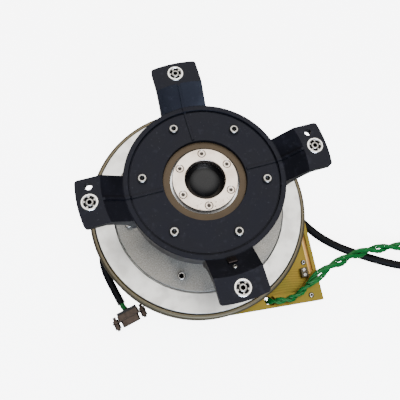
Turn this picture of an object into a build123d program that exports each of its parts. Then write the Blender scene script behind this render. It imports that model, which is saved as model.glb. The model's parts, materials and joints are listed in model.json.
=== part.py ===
from build123d import *
import os
from math import cos, hypot, pi, radians, sin, tan

os.makedirs("parts", exist_ok=True)

# Stationary-field electromagnetic clutch. Millimetres, +Z up along the shaft.
# The origin is on the shaft's axis, in the flat bottom face of the field pot.

# ---- driving dimensions ----
DISC_R = 90.0  # rotor disc
DISC_FACE = 45.0  # height of the rotor's bright rim face
RECESS_R = 73.4  # edge of the recess that the armature works in
FRICTION_FACE = 38.0
AIR_GAP = 0.5  # armature to friction face, coil off
ROTOR_BOTTOM = 33.0

WALL_IN_R = 90.9  # rim of the housing around the rotor
WALL_OUT_R = 94.4
WALL_TOP = 43.5
PLATE_HALF = 93.6  # from the axis to the straight edges of the square corner
PLATE_BOTTOM = 24.0
PLATE_TOP = 33.2
WELL_FLOOR = 29.0
POCKET_FLOOR = 28.2

POT_R = 72.0
POT_TOP = 32.4
POT_FLANGE_R = 79.0
POT_FLANGE_LOW = 18.0
POT_SCREW_R = 75.5
GROOVE_IN_R = 46.0
GROOVE_OUT_R = 66.0
GROOVE_FLOOR = 12.0

SHAFT_R = 12.5  # keyed bore for the driving shaft
SLEEVE_BOTTOM = 2.0
SLEEVE_TOP = 107.8
SLEEVE_LOW_R = 27.5
SLEEVE_SEAT_R = 31.0
SLEEVE_FLANGE_R = 37.0
SLEEVE_HUB_R = 22.5

CARRIER_LOW = 44.2
CARRIER_TOP = 48.0
CARRIER_R = 72.6
SPRING_SCREW_R = 62.0
WINDOW_R = 57.0

HUB_R = 46.0
HUB_TOP = 111.0
SPIDER_R = 58.5
SPIDER_FACE = 115.0
LIP_TOP = 116.5
SKIRT_BOTTOM = 94.0
ARM_TOP = 128.0
ARM_R = 89.5
ARM_WIDTH = 34.0
PAD_R = 72.3  # where the arm's slope ends and its flat pad starts
ARM_SCREW_R = 81.1

ARM_PHASE = 6.8  # degrees from +X to the first arm
RING_PHASE = 28.0  # degrees from +X to the retainer ring's first screw


# ---- shared shapes ----
def ring(inner, outer, low, high):
    """A plain ring about the shaft's axis."""
    with BuildPart() as made:
        with BuildSketch(Plane.XY.offset(low)):
            Circle(outer)
            Circle(inner, mode=Mode.SUBTRACT)
        extrude(amount=high - low)
    return made.part


def cap_screw(head_r, head_height, shank_r, length, socket_r):
    """A socket head screw, its head's seat at the origin and its shank pointing down."""
    with BuildPart() as made:
        with BuildSketch():
            Circle(head_r)
        extrude(amount=head_height)
        chamfer(made.edges().group_by(Axis.Z)[-1], length=head_r * 0.1)
        with BuildSketch(Plane.XY.offset(head_height)):
            RegularPolygon(socket_r, 6)
        extrude(amount=-head_height * 0.6, mode=Mode.SUBTRACT)
        with BuildSketch():
            Circle(shank_r)
        extrude(amount=-length)
    return made.part


HEAD_EDGE = 0.3  # the straight edge round a countersunk head


def countersunk_screw(head_r, shank_r, length, socket_r):
    """A countersunk screw, the top of its head at the origin and its shank pointing down."""
    cone = head_r - shank_r
    with BuildPart() as made:
        with BuildSketch(Plane.XZ):
            with BuildLine():
                Polyline(
                    (0, 0), (head_r, 0), (head_r, -HEAD_EDGE), (shank_r, -HEAD_EDGE - cone),
                    (shank_r, -length), (0, -length),
                    close=True,
                )
            make_face()
        revolve(axis=Axis.Z)
        with BuildSketch():
            RegularPolygon(socket_r, 6)
        extrude(amount=-cone * 0.8, mode=Mode.SUBTRACT)
    return made.part


def placed(shape, height, at_r, count, phase=0.0):
    """Copies of a shape on a circle about the shaft's axis."""
    with BuildPart() as made:
        with Locations((0, 0, height)):
            with PolarLocations(at_r, count, start_angle=phase):
                add(shape)
    return made.part


BALL_PLAY = 0.1


def race(inner, outer, low, width, ball_circle):
    """A bearing ring with its ball groove; ball_circle is the balls' pitch radius and own radius."""
    pitch_r, ball_r = ball_circle
    middle = low + width / 2
    with BuildPart() as made:
        add(ring(inner, outer, low, low + width))
        with BuildSketch(Plane.XZ):
            with Locations((pitch_r, middle)):
                Circle(ball_r + BALL_PLAY)
        revolve(axis=Axis.Z, mode=Mode.SUBTRACT)
        chamfer(made.edges().filter_by(GeomType.CIRCLE).group_by(Axis.Z)[-1], length=0.4)
    return made.part


def balls(pitch_r, ball_r, middle, count):
    """A ring of bearing balls."""
    with BuildPart() as made:
        with Locations((0, 0, middle)):
            with PolarLocations(pitch_r, count):
                Sphere(ball_r)
    return made.part


def cage(pitch_r, ball_r, middle, count, half_width, half_height):
    """A machined bearing cage with one round pocket for each ball."""
    with BuildPart() as made:
        add(ring(pitch_r - half_width, pitch_r + half_width, middle - half_height, middle + half_height))
        with Locations((0, 0, middle)):
            with PolarLocations(pitch_r, count):
                Cylinder(ball_r + BALL_PLAY, 4 * half_width, rotation=(0, 90, 0), mode=Mode.SUBTRACT)
    return made.part


def cord_radii(name, points):
    """The largest tangent arc at each corner of a cord's route."""
    corners = [Vector(*point) for point in points]
    radii = []
    for before, corner, after in zip(corners, corners[1:], corners[2:]):
        turn = (corner - before).get_angle(after - corner)
        shorter = min((corner - before).length, (after - corner).length)
        radii.append(0.45 * shorter / tan(radians(turn / 2)))
    print(name, "arc radii", [round(radius, 1) for radius in radii])
    return radii


def cord_tube(name, points, diameter):
    """A cord's tube along straight runs and tangent arcs."""
    with BuildPart() as made:
        with BuildLine() as route:
            FilletPolyline(*points, radius=cord_radii(name, points))
        with BuildSketch(Plane(origin=route.line @ 0, z_dir=route.line % 0)):
            Circle(diameter / 2)
        sweep()
    length = sum(edge.length for edge in route.line.edges())
    expected = length * pi * diameter**2 / 4
    print(name, "length", round(length, 1), "volume error", round(made.part.volume / expected - 1, 4))
    return made.part


def coil_ring(centre, mean_r, diameter, layers):
    """The outer shape of a neat coil that lies flat, two turns wide."""
    with BuildPart() as made:
        with BuildSketch():
            with Locations(centre):
                Circle(mean_r + diameter * 1.05)
                Circle(mean_r - diameter * 1.05, mode=Mode.SUBTRACT)
        extrude(amount=diameter * layers)
        fillet(made.edges(), radius=diameter * 0.4)
    return made.part


OUTLET_CORNER_R = 1.2


def outlet_block(centre, heading, size, low, high):
    """A small cable outlet box under the plate, its cable leaving along the heading."""
    along = (cos(radians(heading)), sin(radians(heading)), 0)
    floor = Plane(origin=(centre[0], centre[1], low), x_dir=along, z_dir=(0, 0, 1))
    with BuildPart() as made:
        with BuildSketch(floor):
            Rectangle(*size)
        extrude(amount=high - low)
        fillet(made.edges().filter_by(Axis.Z), radius=OUTLET_CORNER_R)
    return made.part


# ---- field: housing plate ----
POCKET_EDGE = 90.3
POCKET_LAND = -84.0
POCKET_CUT = 68.0
RIM_ROUNDING = 2.6
BASE_SCREWS = [(85.0, -59.5), (83.6, -88.5)]
BASE_SCREW_R = 1.5
LEAD_HOLE = (46.2, -86.9)
LEAD_HOLE_R = 3.6
POT_SCREW_HOLE_R = 2.0
POT_SCREW_PHASE = 30
SENSOR_NOSE_AT = (85.5, 188)  # radius and angle of the sensor's nose
SENSOR_NOSE_R = 3.9

with BuildPart() as base_housing:
    with BuildSketch(Plane.XY.offset(PLATE_BOTTOM)):
        Circle(WALL_OUT_R)
        with Locations((PLATE_HALF / 2, -PLATE_HALF / 2)):
            Rectangle(PLATE_HALF, PLATE_HALF)
    extrude(amount=PLATE_TOP - PLATE_BOTTOM)
    with BuildSketch(Plane.XY.offset(PLATE_TOP)):
        Circle(WALL_OUT_R)
    extrude(amount=WALL_TOP - PLATE_TOP)
    fillet(base_housing.edges().filter_by(GeomType.CIRCLE).group_by(Axis.Z)[-1], radius=RIM_ROUNDING)
    with BuildSketch(Plane.XY.offset(WELL_FLOOR)):
        Circle(WALL_IN_R)
    extrude(amount=WALL_TOP, mode=Mode.SUBTRACT)
    with BuildSketch(Plane.XY.offset(POCKET_FLOOR)):
        with BuildLine():
            Polyline(
                (0, 0), (POCKET_EDGE, 0), (POCKET_EDGE, -POCKET_CUT),
                (POCKET_EDGE - (-POCKET_LAND - POCKET_CUT), POCKET_LAND), (0, POCKET_LAND),
                close=True,
            )
        make_face()
        Circle(WALL_OUT_R, mode=Mode.SUBTRACT)
    extrude(amount=PLATE_TOP, mode=Mode.SUBTRACT)
    with BuildSketch(Plane.XY.offset(PLATE_BOTTOM)):
        Circle(POT_R)
        with Locations(*BASE_SCREWS):
            Circle(BASE_SCREW_R)
        with Locations(LEAD_HOLE):
            Circle(LEAD_HOLE_R)
        with PolarLocations(POT_SCREW_R, 6, start_angle=POT_SCREW_PHASE):
            Circle(POT_SCREW_HOLE_R)
        with PolarLocations(SENSOR_NOSE_AT[0], 1, start_angle=SENSOR_NOSE_AT[1]):
            Circle(SENSOR_NOSE_R + 0.2)
    extrude(amount=PLATE_TOP, mode=Mode.SUBTRACT)
    # the lead hole is let out towards the corner, where the leads bend over
    with BuildSketch(Plane.XY.offset(POCKET_FLOOR)):
        with Locations((LEAD_HOLE[0] + 2.0, LEAD_HOLE[1] - 0.7)):
            Circle(LEAD_HOLE_R + 0.4)
    extrude(amount=PLATE_TOP, mode=Mode.SUBTRACT)
base_housing.part.label = "base_housing"
export_step(base_housing.part, "parts/base_housing.step")

# ---- field: magnet pot with the coil groove and the bearing seat ----
BEARING_LOW = 8.0
BEARING_WIDTH = 13.0
BEARING_TOP = BEARING_LOW + BEARING_WIDTH
BEARING_SEAT_R = 40.0
BEARING_PITCH_R = 33.75
BEARING_BALL_R = 3.2
SHOULDER_R = 36.5  # the pot's shoulder under the bearing's outer ring
CLIP_GROOVE_R = 41.6
CLIP_THICK = 1.75
FRAME_HOLE_R = 2.1
FRAME_HOLE_DEPTH = 9.0
FRAME_PITCH_R = 56.0

with BuildPart() as field_pot:
    with BuildSketch():
        Circle(POT_R)
    extrude(amount=POT_TOP)
    with BuildSketch(Plane.XY.offset(POT_FLANGE_LOW)):
        Circle(POT_FLANGE_R)
    extrude(amount=PLATE_BOTTOM - POT_FLANGE_LOW)
    with BuildSketch(Plane.XY.offset(GROOVE_FLOOR)):
        Circle(GROOVE_OUT_R)
        Circle(GROOVE_IN_R, mode=Mode.SUBTRACT)
    extrude(amount=POT_TOP, mode=Mode.SUBTRACT)
    with BuildSketch():
        Circle(SHOULDER_R)
    extrude(amount=POT_TOP, mode=Mode.SUBTRACT)
    with BuildSketch(Plane.XY.offset(BEARING_LOW)):
        Circle(BEARING_SEAT_R)
    extrude(amount=POT_TOP, mode=Mode.SUBTRACT)
    with BuildSketch(Plane.XY.offset(BEARING_TOP)):
        Circle(CLIP_GROOVE_R)
    extrude(amount=CLIP_THICK + 0.05, mode=Mode.SUBTRACT)
    with BuildSketch(Plane.XY.offset(POT_FLANGE_LOW)):
        with PolarLocations(POT_SCREW_R, 6, start_angle=POT_SCREW_PHASE):
            Circle(POT_SCREW_HOLE_R)
    extrude(amount=PLATE_BOTTOM - POT_FLANGE_LOW, mode=Mode.SUBTRACT)
    # four blind threaded holes that hold the whole clutch to a machine frame
    with BuildSketch():
        with PolarLocations(FRAME_PITCH_R, 4, start_angle=45):
            Circle(FRAME_HOLE_R)
    extrude(amount=FRAME_HOLE_DEPTH, mode=Mode.SUBTRACT)
    foot_edges = field_pot.edges().group_by(Axis.Z)[0].filter_by(GeomType.CIRCLE)
    chamfer(foot_edges.sort_by(SortBy.RADIUS)[-1], length=1.0)
field_pot.part.label = "field_pot"
export_step(field_pot.part, "parts/field_pot.step")

with BuildPart() as pot_screws:
    with Locations((0, 0, POT_FLANGE_LOW)):
        with PolarLocations(POT_SCREW_R, 6, start_angle=POT_SCREW_PHASE):
            add(cap_screw(3.4, 3.8, 1.95, 9.5, 1.7), rotation=(180, 0, 0))
pot_screws.part.label = "pot_screws"
export_step(pot_screws.part, "parts/pot_screws.step")

with BuildPart() as base_screws:
    with Locations((*BASE_SCREWS[0], POCKET_FLOOR), (*BASE_SCREWS[1], PLATE_TOP)):
        add(cap_screw(2.25, 1.6, BASE_SCREW_R, 4.0, 1.1))
base_screws.part.label = "base_screws"
export_step(base_screws.part, "parts/base_screws.step")

# ---- field: coil ----
BOBBIN_TOP = 28.0
WINDING_IN_R = GROOVE_IN_R + 1.2
WINDING_OUT_R = GROOVE_OUT_R - 0.8
WINDING_LOW = GROOVE_FLOOR + 1.2
WINDING_TOP = BOBBIN_TOP - 1.2
with BuildPart() as coil_bobbin:
    add(ring(GROOVE_IN_R, GROOVE_OUT_R, GROOVE_FLOOR, BOBBIN_TOP))
    add(ring(WINDING_IN_R, GROOVE_OUT_R + 1, WINDING_LOW, WINDING_TOP), mode=Mode.SUBTRACT)
coil_bobbin.part.label = "coil_bobbin"
export_step(coil_bobbin.part, "parts/coil_bobbin.step")

with BuildPart() as coil_winding:
    add(ring(WINDING_IN_R, WINDING_OUT_R, WINDING_LOW, WINDING_TOP))
coil_winding.part.label = "coil_winding"
export_step(coil_winding.part, "parts/coil_winding.step")

with BuildPart() as coil_potting:
    add(ring(GROOVE_IN_R, GROOVE_OUT_R, BOBBIN_TOP, POT_TOP - 0.4))
coil_potting.part.label = "coil_potting"
export_step(coil_potting.part, "parts/coil_potting.step")

# ---- field: terminal strip in the pocket ----
STRIP = (83.0, -68.4)
STRIP_HEIGHT = 4.2
WELL_DEPTH = 1.2  # of the two wells that the strip's screws sit in
STRIP_WELLS = [(STRIP[0], STRIP[1] - 2.2), (STRIP[0], STRIP[1] + 2.2)]
with BuildPart() as terminal_strip:
    with BuildSketch(Plane.XY.offset(POCKET_FLOOR)):
        with Locations(STRIP):
            Rectangle(5.6, 8.0)
    extrude(amount=STRIP_HEIGHT)
    with BuildSketch(Plane.XY.offset(POCKET_FLOOR + STRIP_HEIGHT)):
        with Locations(*STRIP_WELLS):
            Rectangle(4.0, 3.4)
    extrude(amount=-WELL_DEPTH, mode=Mode.SUBTRACT)
terminal_strip.part.label = "terminal_strip"
export_step(terminal_strip.part, "parts/terminal_strip.step")

with BuildPart() as terminal_screws:
    for well in STRIP_WELLS:
        with Locations((*well, POCKET_FLOOR + STRIP_HEIGHT - WELL_DEPTH)):
            add(cap_screw(1.3, 1.0, 0.8, 0.5, 0.7))
terminal_screws.part.label = "terminal_screws"
export_step(terminal_screws.part, "parts/terminal_screws.step")

# ---- field bearing, which carries the sleeve in the pot ----
FIELD_BALLS = 18
FIELD_MIDDLE = BEARING_LOW + BEARING_WIDTH / 2
RING_GAP = 2.55  # from the balls' circle to each bearing ring
FIELD_BALL_CIRCLE = (BEARING_PITCH_R, BEARING_BALL_R)
with BuildPart() as field_bearing_outer:
    add(race(BEARING_PITCH_R + RING_GAP, BEARING_SEAT_R, BEARING_LOW, BEARING_WIDTH, FIELD_BALL_CIRCLE))
field_bearing_outer.part.label = "field_bearing_outer"
export_step(field_bearing_outer.part, "parts/field_bearing_outer.step")

with BuildPart() as field_bearing_inner:
    add(race(SLEEVE_LOW_R, BEARING_PITCH_R - RING_GAP, BEARING_LOW, BEARING_WIDTH, FIELD_BALL_CIRCLE))
field_bearing_inner.part.label = "field_bearing_inner"
export_step(field_bearing_inner.part, "parts/field_bearing_inner.step")

with BuildPart() as field_bearing_balls:
    add(balls(BEARING_PITCH_R, BEARING_BALL_R, FIELD_MIDDLE, FIELD_BALLS))
field_bearing_balls.part.label = "field_bearing_balls"
export_step(field_bearing_balls.part, "parts/field_bearing_balls.step")

with BuildPart() as field_bearing_cage:
    add(cage(BEARING_PITCH_R, BEARING_BALL_R, FIELD_MIDDLE, FIELD_BALLS, 1.4, 4.6))
field_bearing_cage.part.label = "field_bearing_cage"
export_step(field_bearing_cage.part, "parts/field_bearing_cage.step")

with BuildPart() as field_circlip:
    add(ring(BEARING_SEAT_R - 2.0, CLIP_GROOVE_R - 0.1, BEARING_TOP, BEARING_TOP + CLIP_THICK))
    with BuildSketch(Plane.XY.offset(BEARING_TOP)):
        with Locations((BEARING_SEAT_R, 0)):
            Rectangle(8.0, 9.0)
    extrude(amount=CLIP_THICK, mode=Mode.SUBTRACT)
field_circlip.part.label = "field_circlip"
export_step(field_circlip.part, "parts/field_circlip.step")

# ---- field: speed sensor and its short cable with a nine-way connector ----
SENSOR_CABLE_D = 6.6
SENSOR_CENTRE = (-86.6, -9.5)
SENSOR_LOW = 6.0
SENSOR_SCREW_SPAN = 4.5  # from the sensor's middle to each of its screws
SENSOR_ROUTE = [
    (-90.0, -17.0, 10.0), (-91.0, -26.0, 8.4), (-90.3, -35.5, 5.6), (-87.3, -45.4, 3.9),
    (-83.2, -56.0, 3.4), (-79.0, -67.0, 3.5),
]
with BuildPart() as speed_sensor:
    add(outlet_block(SENSOR_CENTRE, 90, (15.0, 13.6), SENSOR_LOW, PLATE_BOTTOM))
    with BuildSketch(Plane.XY.offset(PLATE_BOTTOM)):
        with PolarLocations(SENSOR_NOSE_AT[0], 1, start_angle=SENSOR_NOSE_AT[1]):
            Circle(SENSOR_NOSE_R)
    extrude(amount=6.1)
speed_sensor.part.label = "speed_sensor"
export_step(speed_sensor.part, "parts/speed_sensor.step")

with BuildPart() as sensor_screws:
    for side in (-1, 1):
        with Locations((SENSOR_CENTRE[0], SENSOR_CENTRE[1] + side * SENSOR_SCREW_SPAN, SENSOR_LOW)):
            add(cap_screw(1.9, 1.3, 1.0, 0.2, 0.9), rotation=(180, 0, 0))
sensor_screws.part.label = "sensor_screws"
export_step(sensor_screws.part, "parts/sensor_screws.step")

with BuildPart() as sensor_cable:
    add(cord_tube("sensor_cable", SENSOR_ROUTE, SENSOR_CABLE_D))
sensor_cable.part.label = "sensor_cable"
export_step(sensor_cable.part, "parts/sensor_cable.step")

DSUB_ORIGIN = (-73.4, -78.9, 6.5)
DSUB_HEADING = radians(-71.3)  # the way the connector's pins point
DSUB = Plane(
    origin=DSUB_ORIGIN,
    x_dir=(-sin(DSUB_HEADING), cos(DSUB_HEADING), 0),
    z_dir=(cos(DSUB_HEADING), sin(DSUB_HEADING), 0),
)
SHELL_W, SHELL_H, SHELL_DEPTH = 16.9, 8.4, 5.8


def d_outline(width, height):
    """The connector's D-shaped outline, wide at the top."""
    with BuildSketch() as made:
        with BuildLine():
            Polyline(
                (-width / 2, height / 2), (width / 2, height / 2), (width / 2 - 1.5, -height / 2),
                (-width / 2 + 1.5, -height / 2),
                close=True,
            )
        make_face()
        fillet(made.vertices(), radius=1.6)
    return made.sketch


with BuildPart() as dsub_shell:
    with BuildSketch(DSUB):
        RectangleRounded(30.8, 12.5, 2.0)
        with Locations((-12.5, 0), (12.5, 0)):
            Circle(1.6, mode=Mode.SUBTRACT)
        add(d_outline(SHELL_W - 1.0, SHELL_H - 1.0), mode=Mode.SUBTRACT)
    extrude(amount=1.0)
    with BuildSketch(DSUB.offset(1.0)):
        add(d_outline(SHELL_W, SHELL_H))
        add(d_outline(SHELL_W - 1.0, SHELL_H - 1.0), mode=Mode.SUBTRACT)
    extrude(amount=SHELL_DEPTH)
    with BuildSketch(DSUB.offset(-4.0)):
        RectangleRounded(19.0, 11.2, 1.2)
        RectangleRounded(17.8, 10.0, 0.8, mode=Mode.SUBTRACT)
    extrude(amount=4.0)
dsub_shell.part.label = "dsub_shell"
export_step(dsub_shell.part, "parts/dsub_shell.step")

with BuildPart() as dsub_insulator:
    with BuildSketch(DSUB.offset(-6.4)):
        RectangleRounded(17.8, 10.0, 0.8)
    extrude(amount=6.4)
    with BuildSketch(DSUB):
        add(d_outline(SHELL_W - 1.0, SHELL_H - 1.0))
    extrude(amount=2.2)
dsub_insulator.part.label = "dsub_insulator"
export_step(dsub_insulator.part, "parts/dsub_insulator.step")

PIN_PITCH = 2.77
PIN_ROW = 1.42
with BuildPart() as dsub_pins:
    with BuildSketch(DSUB.offset(2.2)):
        with Locations((0, PIN_ROW)):
            with GridLocations(PIN_PITCH, 1, 5, 1):
                Circle(0.5)
        with Locations((0, -PIN_ROW)):
            with GridLocations(PIN_PITCH, 1, 4, 1):
                Circle(0.5)
    extrude(amount=4.2)
dsub_pins.part.label = "dsub_pins"
export_step(dsub_pins.part, "parts/dsub_pins.step")

with BuildPart() as dsub_jackposts:
    with BuildSketch(DSUB.offset(1.0)):
        with Locations((-12.5, 0), (12.5, 0)):
            RegularPolygon(2.6, 6)
    extrude(amount=5.0)
    with BuildSketch(DSUB.offset(-5.0)):
        with Locations((-12.5, 0), (12.5, 0)):
            Circle(1.4)
    extrude(amount=12.5)
    with BuildSketch(DSUB):
        with Locations((-12.5, 0), (12.5, 0)):
            RegularPolygon(2.6, 6)
    extrude(amount=-2.2)
dsub_jackposts.part.label = "dsub_jackposts"
export_step(dsub_jackposts.part, "parts/dsub_jackposts.step")

PIGTAIL = [(-79.0, -67.0, 3.5), (-77.8, -70.1, 3.9), (-75.7, -72.9, 6.0)]
with BuildPart() as pigtail_wires:
    add(cord_tube("pigtail_wires", PIGTAIL, 4.6))
pigtail_wires.part.label = "pigtail_wires"
export_step(pigtail_wires.part, "parts/pigtail_wires.step")

# ---- field: coil supply cable, coiled where it is put away ----
POWER_D = 7.6
POWER_HEADING = -49.0
POWER_CENTRE = (86.6, -2.4)
POWER_START = (92.2, -8.8, 9.0)
POWER_COIL_R = 41.0
POWER_COIL_AT = (242.0, -124.0)
POWER_ROUTE = [
    POWER_START, (100.6, -19.0, 6.0), (112.5, -33.5, 4.2), (129.5, -47.2, 3.9), (149.0, -58.0, 3.9),
    (168.0, -67.3, 3.9), (187.0, -75.0, 3.9), (206.0, -78.6, 3.9), (225.0, -79.2, 3.9),
]
POWER_AHEAD = (cos(radians(POWER_HEADING)), sin(radians(POWER_HEADING)), 0)
with BuildPart() as power_outlet:
    add(outlet_block(POWER_CENTRE, POWER_HEADING, (15.0, 13.0), 4.5, POT_FLANGE_LOW))
    with BuildSketch(Plane(origin=POWER_START, z_dir=POWER_AHEAD)):
        Circle(5.4)
    extrude(amount=-2.6)
power_outlet.part.label = "power_outlet"
export_step(power_outlet.part, "parts/power_outlet.step")

with BuildPart() as power_cable:
    add(cord_tube("power_cable", POWER_ROUTE, POWER_D))
power_cable.part.label = "power_cable"
export_step(power_cable.part, "parts/power_cable.step")

with BuildPart() as power_coil:
    add(coil_ring(POWER_COIL_AT, POWER_COIL_R, POWER_D, 2))
power_coil.part.label = "power_coil"
export_step(power_coil.part, "parts/power_coil.step")

PLUG_BODY_R = 6.9
PLUG_NOSE_R = 5.6
PLUG_BODY_LENGTH = 24.0
PLUG_NOSE_LENGTH = 9.0
PLUG_AXIS = Plane(
    origin=(POWER_COIL_AT[0] - 18.0, POWER_COIL_AT[1] + POWER_COIL_R, 2 * POWER_D + PLUG_BODY_R + 0.1),
    z_dir=(1, 0, 0),
)
with BuildPart() as power_connector:
    with BuildSketch(PLUG_AXIS):
        Circle(PLUG_BODY_R)
    extrude(amount=PLUG_BODY_LENGTH)
    with BuildSketch(PLUG_AXIS.offset(PLUG_BODY_LENGTH)):
        Circle(PLUG_NOSE_R)
    extrude(amount=PLUG_NOSE_LENGTH)
    with BuildSketch(PLUG_AXIS.offset(PLUG_BODY_LENGTH + PLUG_NOSE_LENGTH)):
        Circle(PLUG_NOSE_R - 1.0)
    extrude(amount=-1.5, mode=Mode.SUBTRACT)
power_connector.part.label = "power_connector"
export_step(power_connector.part, "parts/power_connector.step")

# ---- field: green twisted leads, thin from the coil and thick from the terminal strip ----
PAIR_D = 6.2
BUNDLE_D = 9.0
PAIR_ROUTE = [
    (*LEAD_HOLE, 24.5), (LEAD_HOLE[0] + 0.3, LEAD_HOLE[1] - 0.1, 31.5), (51.5, -88.4, 37.4),
    (59.6, -89.6, 38.2), (68.2, -88.2, 37.2), (75.4, -84.2, 37.2), (82.0, -79.8, 38.4),
]
BUNDLE_COIL_R = 48.0
BUNDLE_COIL_AT = (278.0, -6.0)
BUNDLE_ROUTE = [
    (82.0, -79.8, 38.4), (91.2, -73.8, 39.6), (102.2, -68.6, 38.2), (115.0, -64.8, 33.6),
    (130.5, -60.6, 26.0), (148.0, -57.4, 18.6), (166.0, -56.0, 11.4), (187.0, -56.2, 5.8),
    (211.0, -57.2, 4.6), (235.0, -58.4, 4.6), (257.0, -58.5, 4.6),
]
with BuildPart() as lead_grommet:
    with BuildSketch(Plane.XY.offset(PLATE_BOTTOM)):
        with Locations(LEAD_HOLE):
            Circle(LEAD_HOLE_R)
            Circle(PAIR_D / 2, mode=Mode.SUBTRACT)
    extrude(amount=3.6)
lead_grommet.part.label = "lead_grommet"
export_step(lead_grommet.part, "parts/lead_grommet.step")

with BuildPart() as lead_pair:
    add(cord_tube("lead_pair", PAIR_ROUTE, PAIR_D))
lead_pair.part.label = "lead_pair"
export_step(lead_pair.part, "parts/lead_pair.step")

with BuildPart() as lead_bundle:
    add(cord_tube("lead_bundle", BUNDLE_ROUTE, BUNDLE_D))
lead_bundle.part.label = "lead_bundle"
export_step(lead_bundle.part, "parts/lead_bundle.step")

with BuildPart() as lead_coil:
    add(coil_ring(BUNDLE_COIL_AT, BUNDLE_COIL_R, BUNDLE_D, 1))
lead_coil.part.label = "lead_coil"
export_step(lead_coil.part, "parts/lead_coil.step")

with BuildPart() as lead_connector:
    with BuildSketch(Plane.XY.offset(BUNDLE_D)):
        with Locations((BUNDLE_COIL_AT[0] - 2.0, BUNDLE_COIL_AT[1] - BUNDLE_COIL_R)):
            Rectangle(22.0, 12.0)
    extrude(amount=10.0)
    chamfer(lead_connector.edges().filter_by(Axis.X), length=1.0)
lead_connector.part.label = "lead_connector"
export_step(lead_connector.part, "parts/lead_connector.step")

# ---- rotor: input sleeve ----
KEY_WIDTH = 8.0
KEY_DEPTH = 3.3
BORE_TOP = 60.0
SLEEVE_FLANGE_TOP = 43.0
SPACER_R = 25.5
HUB_SHOULDER = 50.0
CAP_BORE_R = 14.0
CIRCLIP_GROOVE_R = 26.0
CIRCLIP_THICK = 1.75
ROTOR_SCREW_R = 34.0
RETAINER_SCREW_R = 19.85
with BuildPart() as input_sleeve:
    with BuildSketch(Plane.XZ):
        with BuildLine():
            Polyline(
                (SHAFT_R, SLEEVE_BOTTOM), (SLEEVE_LOW_R, SLEEVE_BOTTOM), (SLEEVE_LOW_R, BEARING_TOP),
                (SLEEVE_SEAT_R, BEARING_TOP), (SLEEVE_SEAT_R, FRICTION_FACE),
                (SLEEVE_FLANGE_R, FRICTION_FACE), (SLEEVE_FLANGE_R, SLEEVE_FLANGE_TOP),
                (SPACER_R, SLEEVE_FLANGE_TOP), (SPACER_R, HUB_SHOULDER),
                (SLEEVE_HUB_R, HUB_SHOULDER), (SLEEVE_HUB_R, SLEEVE_TOP), (CAP_BORE_R, SLEEVE_TOP),
                (CAP_BORE_R, BORE_TOP), (SHAFT_R, BORE_TOP),
                close=True,
            )
        make_face()
    revolve(axis=Axis.Z)
    with BuildSketch(Plane.XY.offset(SLEEVE_BOTTOM)):
        with Locations((SHAFT_R, 0)):
            Rectangle(2 * KEY_DEPTH, KEY_WIDTH)
    extrude(amount=BORE_TOP, mode=Mode.SUBTRACT)
    with BuildSketch(Plane.XY.offset(BEARING_LOW - CIRCLIP_THICK - 0.05)):
        Circle(SLEEVE_LOW_R + 1)
        Circle(CIRCLIP_GROOVE_R, mode=Mode.SUBTRACT)
    extrude(amount=CIRCLIP_THICK + 0.05, mode=Mode.SUBTRACT)
    with BuildSketch(Plane.XY.offset(ROTOR_BOTTOM)):
        with PolarLocations(ROTOR_SCREW_R, 6):
            Circle(1.5)
    extrude(amount=SLEEVE_FLANGE_TOP - ROTOR_BOTTOM, mode=Mode.SUBTRACT)
    with BuildSketch(Plane.XY.offset(SLEEVE_TOP)):
        with PolarLocations(RETAINER_SCREW_R, 6, start_angle=RING_PHASE):
            Circle(1.5)
    extrude(amount=-8.0, mode=Mode.SUBTRACT)
input_sleeve.part.label = "input_sleeve"
export_step(input_sleeve.part, "parts/input_sleeve.step")

with BuildPart() as sleeve_circlip:
    add(ring(CIRCLIP_GROOVE_R + 0.1, 30.0, BEARING_LOW - CIRCLIP_THICK, BEARING_LOW))
    with BuildSketch(Plane.XY.offset(BEARING_LOW - CIRCLIP_THICK)):
        with Locations((-28.0, 0)):
            Rectangle(8.0, 7.0)
    extrude(amount=CIRCLIP_THICK, mode=Mode.SUBTRACT)
sleeve_circlip.part.label = "sleeve_circlip"
export_step(sleeve_circlip.part, "parts/sleeve_circlip.step")

# ---- rotor disc with its friction recess and flux slots ----
SLOT_R = 56.0
SLOT_WIDTH = 3.0
with BuildPart() as rotor_disc:
    with BuildSketch(Plane.XZ):
        with BuildLine():
            Polyline(
                (SLEEVE_SEAT_R, ROTOR_BOTTOM), (DISC_R, ROTOR_BOTTOM), (DISC_R, DISC_FACE),
                (RECESS_R, DISC_FACE), (RECESS_R, FRICTION_FACE), (SLEEVE_SEAT_R, FRICTION_FACE),
                close=True,
            )
        make_face()
    revolve(axis=Axis.Z)
    chamfer(rotor_disc.edges().group_by(Axis.Z)[-1], length=0.5)
    with BuildSketch(Plane.XY.offset(ROTOR_BOTTOM)):
        Circle(SLOT_R + SLOT_WIDTH / 2)
        Circle(SLOT_R - SLOT_WIDTH / 2, mode=Mode.SUBTRACT)
        with PolarLocations(SLOT_R, 6):
            Rectangle(8.0, 9.0, mode=Mode.SUBTRACT)
        with PolarLocations(ROTOR_SCREW_R, 6):
            Circle(1.5)
    extrude(amount=FRICTION_FACE - ROTOR_BOTTOM, mode=Mode.SUBTRACT)
    with Locations((0, 0, ROTOR_BOTTOM)):
        with PolarLocations(ROTOR_SCREW_R, 6):
            Cone(2.9, 1.5, 1.4, align=(Align.CENTER, Align.CENTER, Align.MIN), mode=Mode.SUBTRACT)
rotor_disc.part.label = "rotor_disc"
export_step(rotor_disc.part, "parts/rotor_disc.step")

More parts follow.
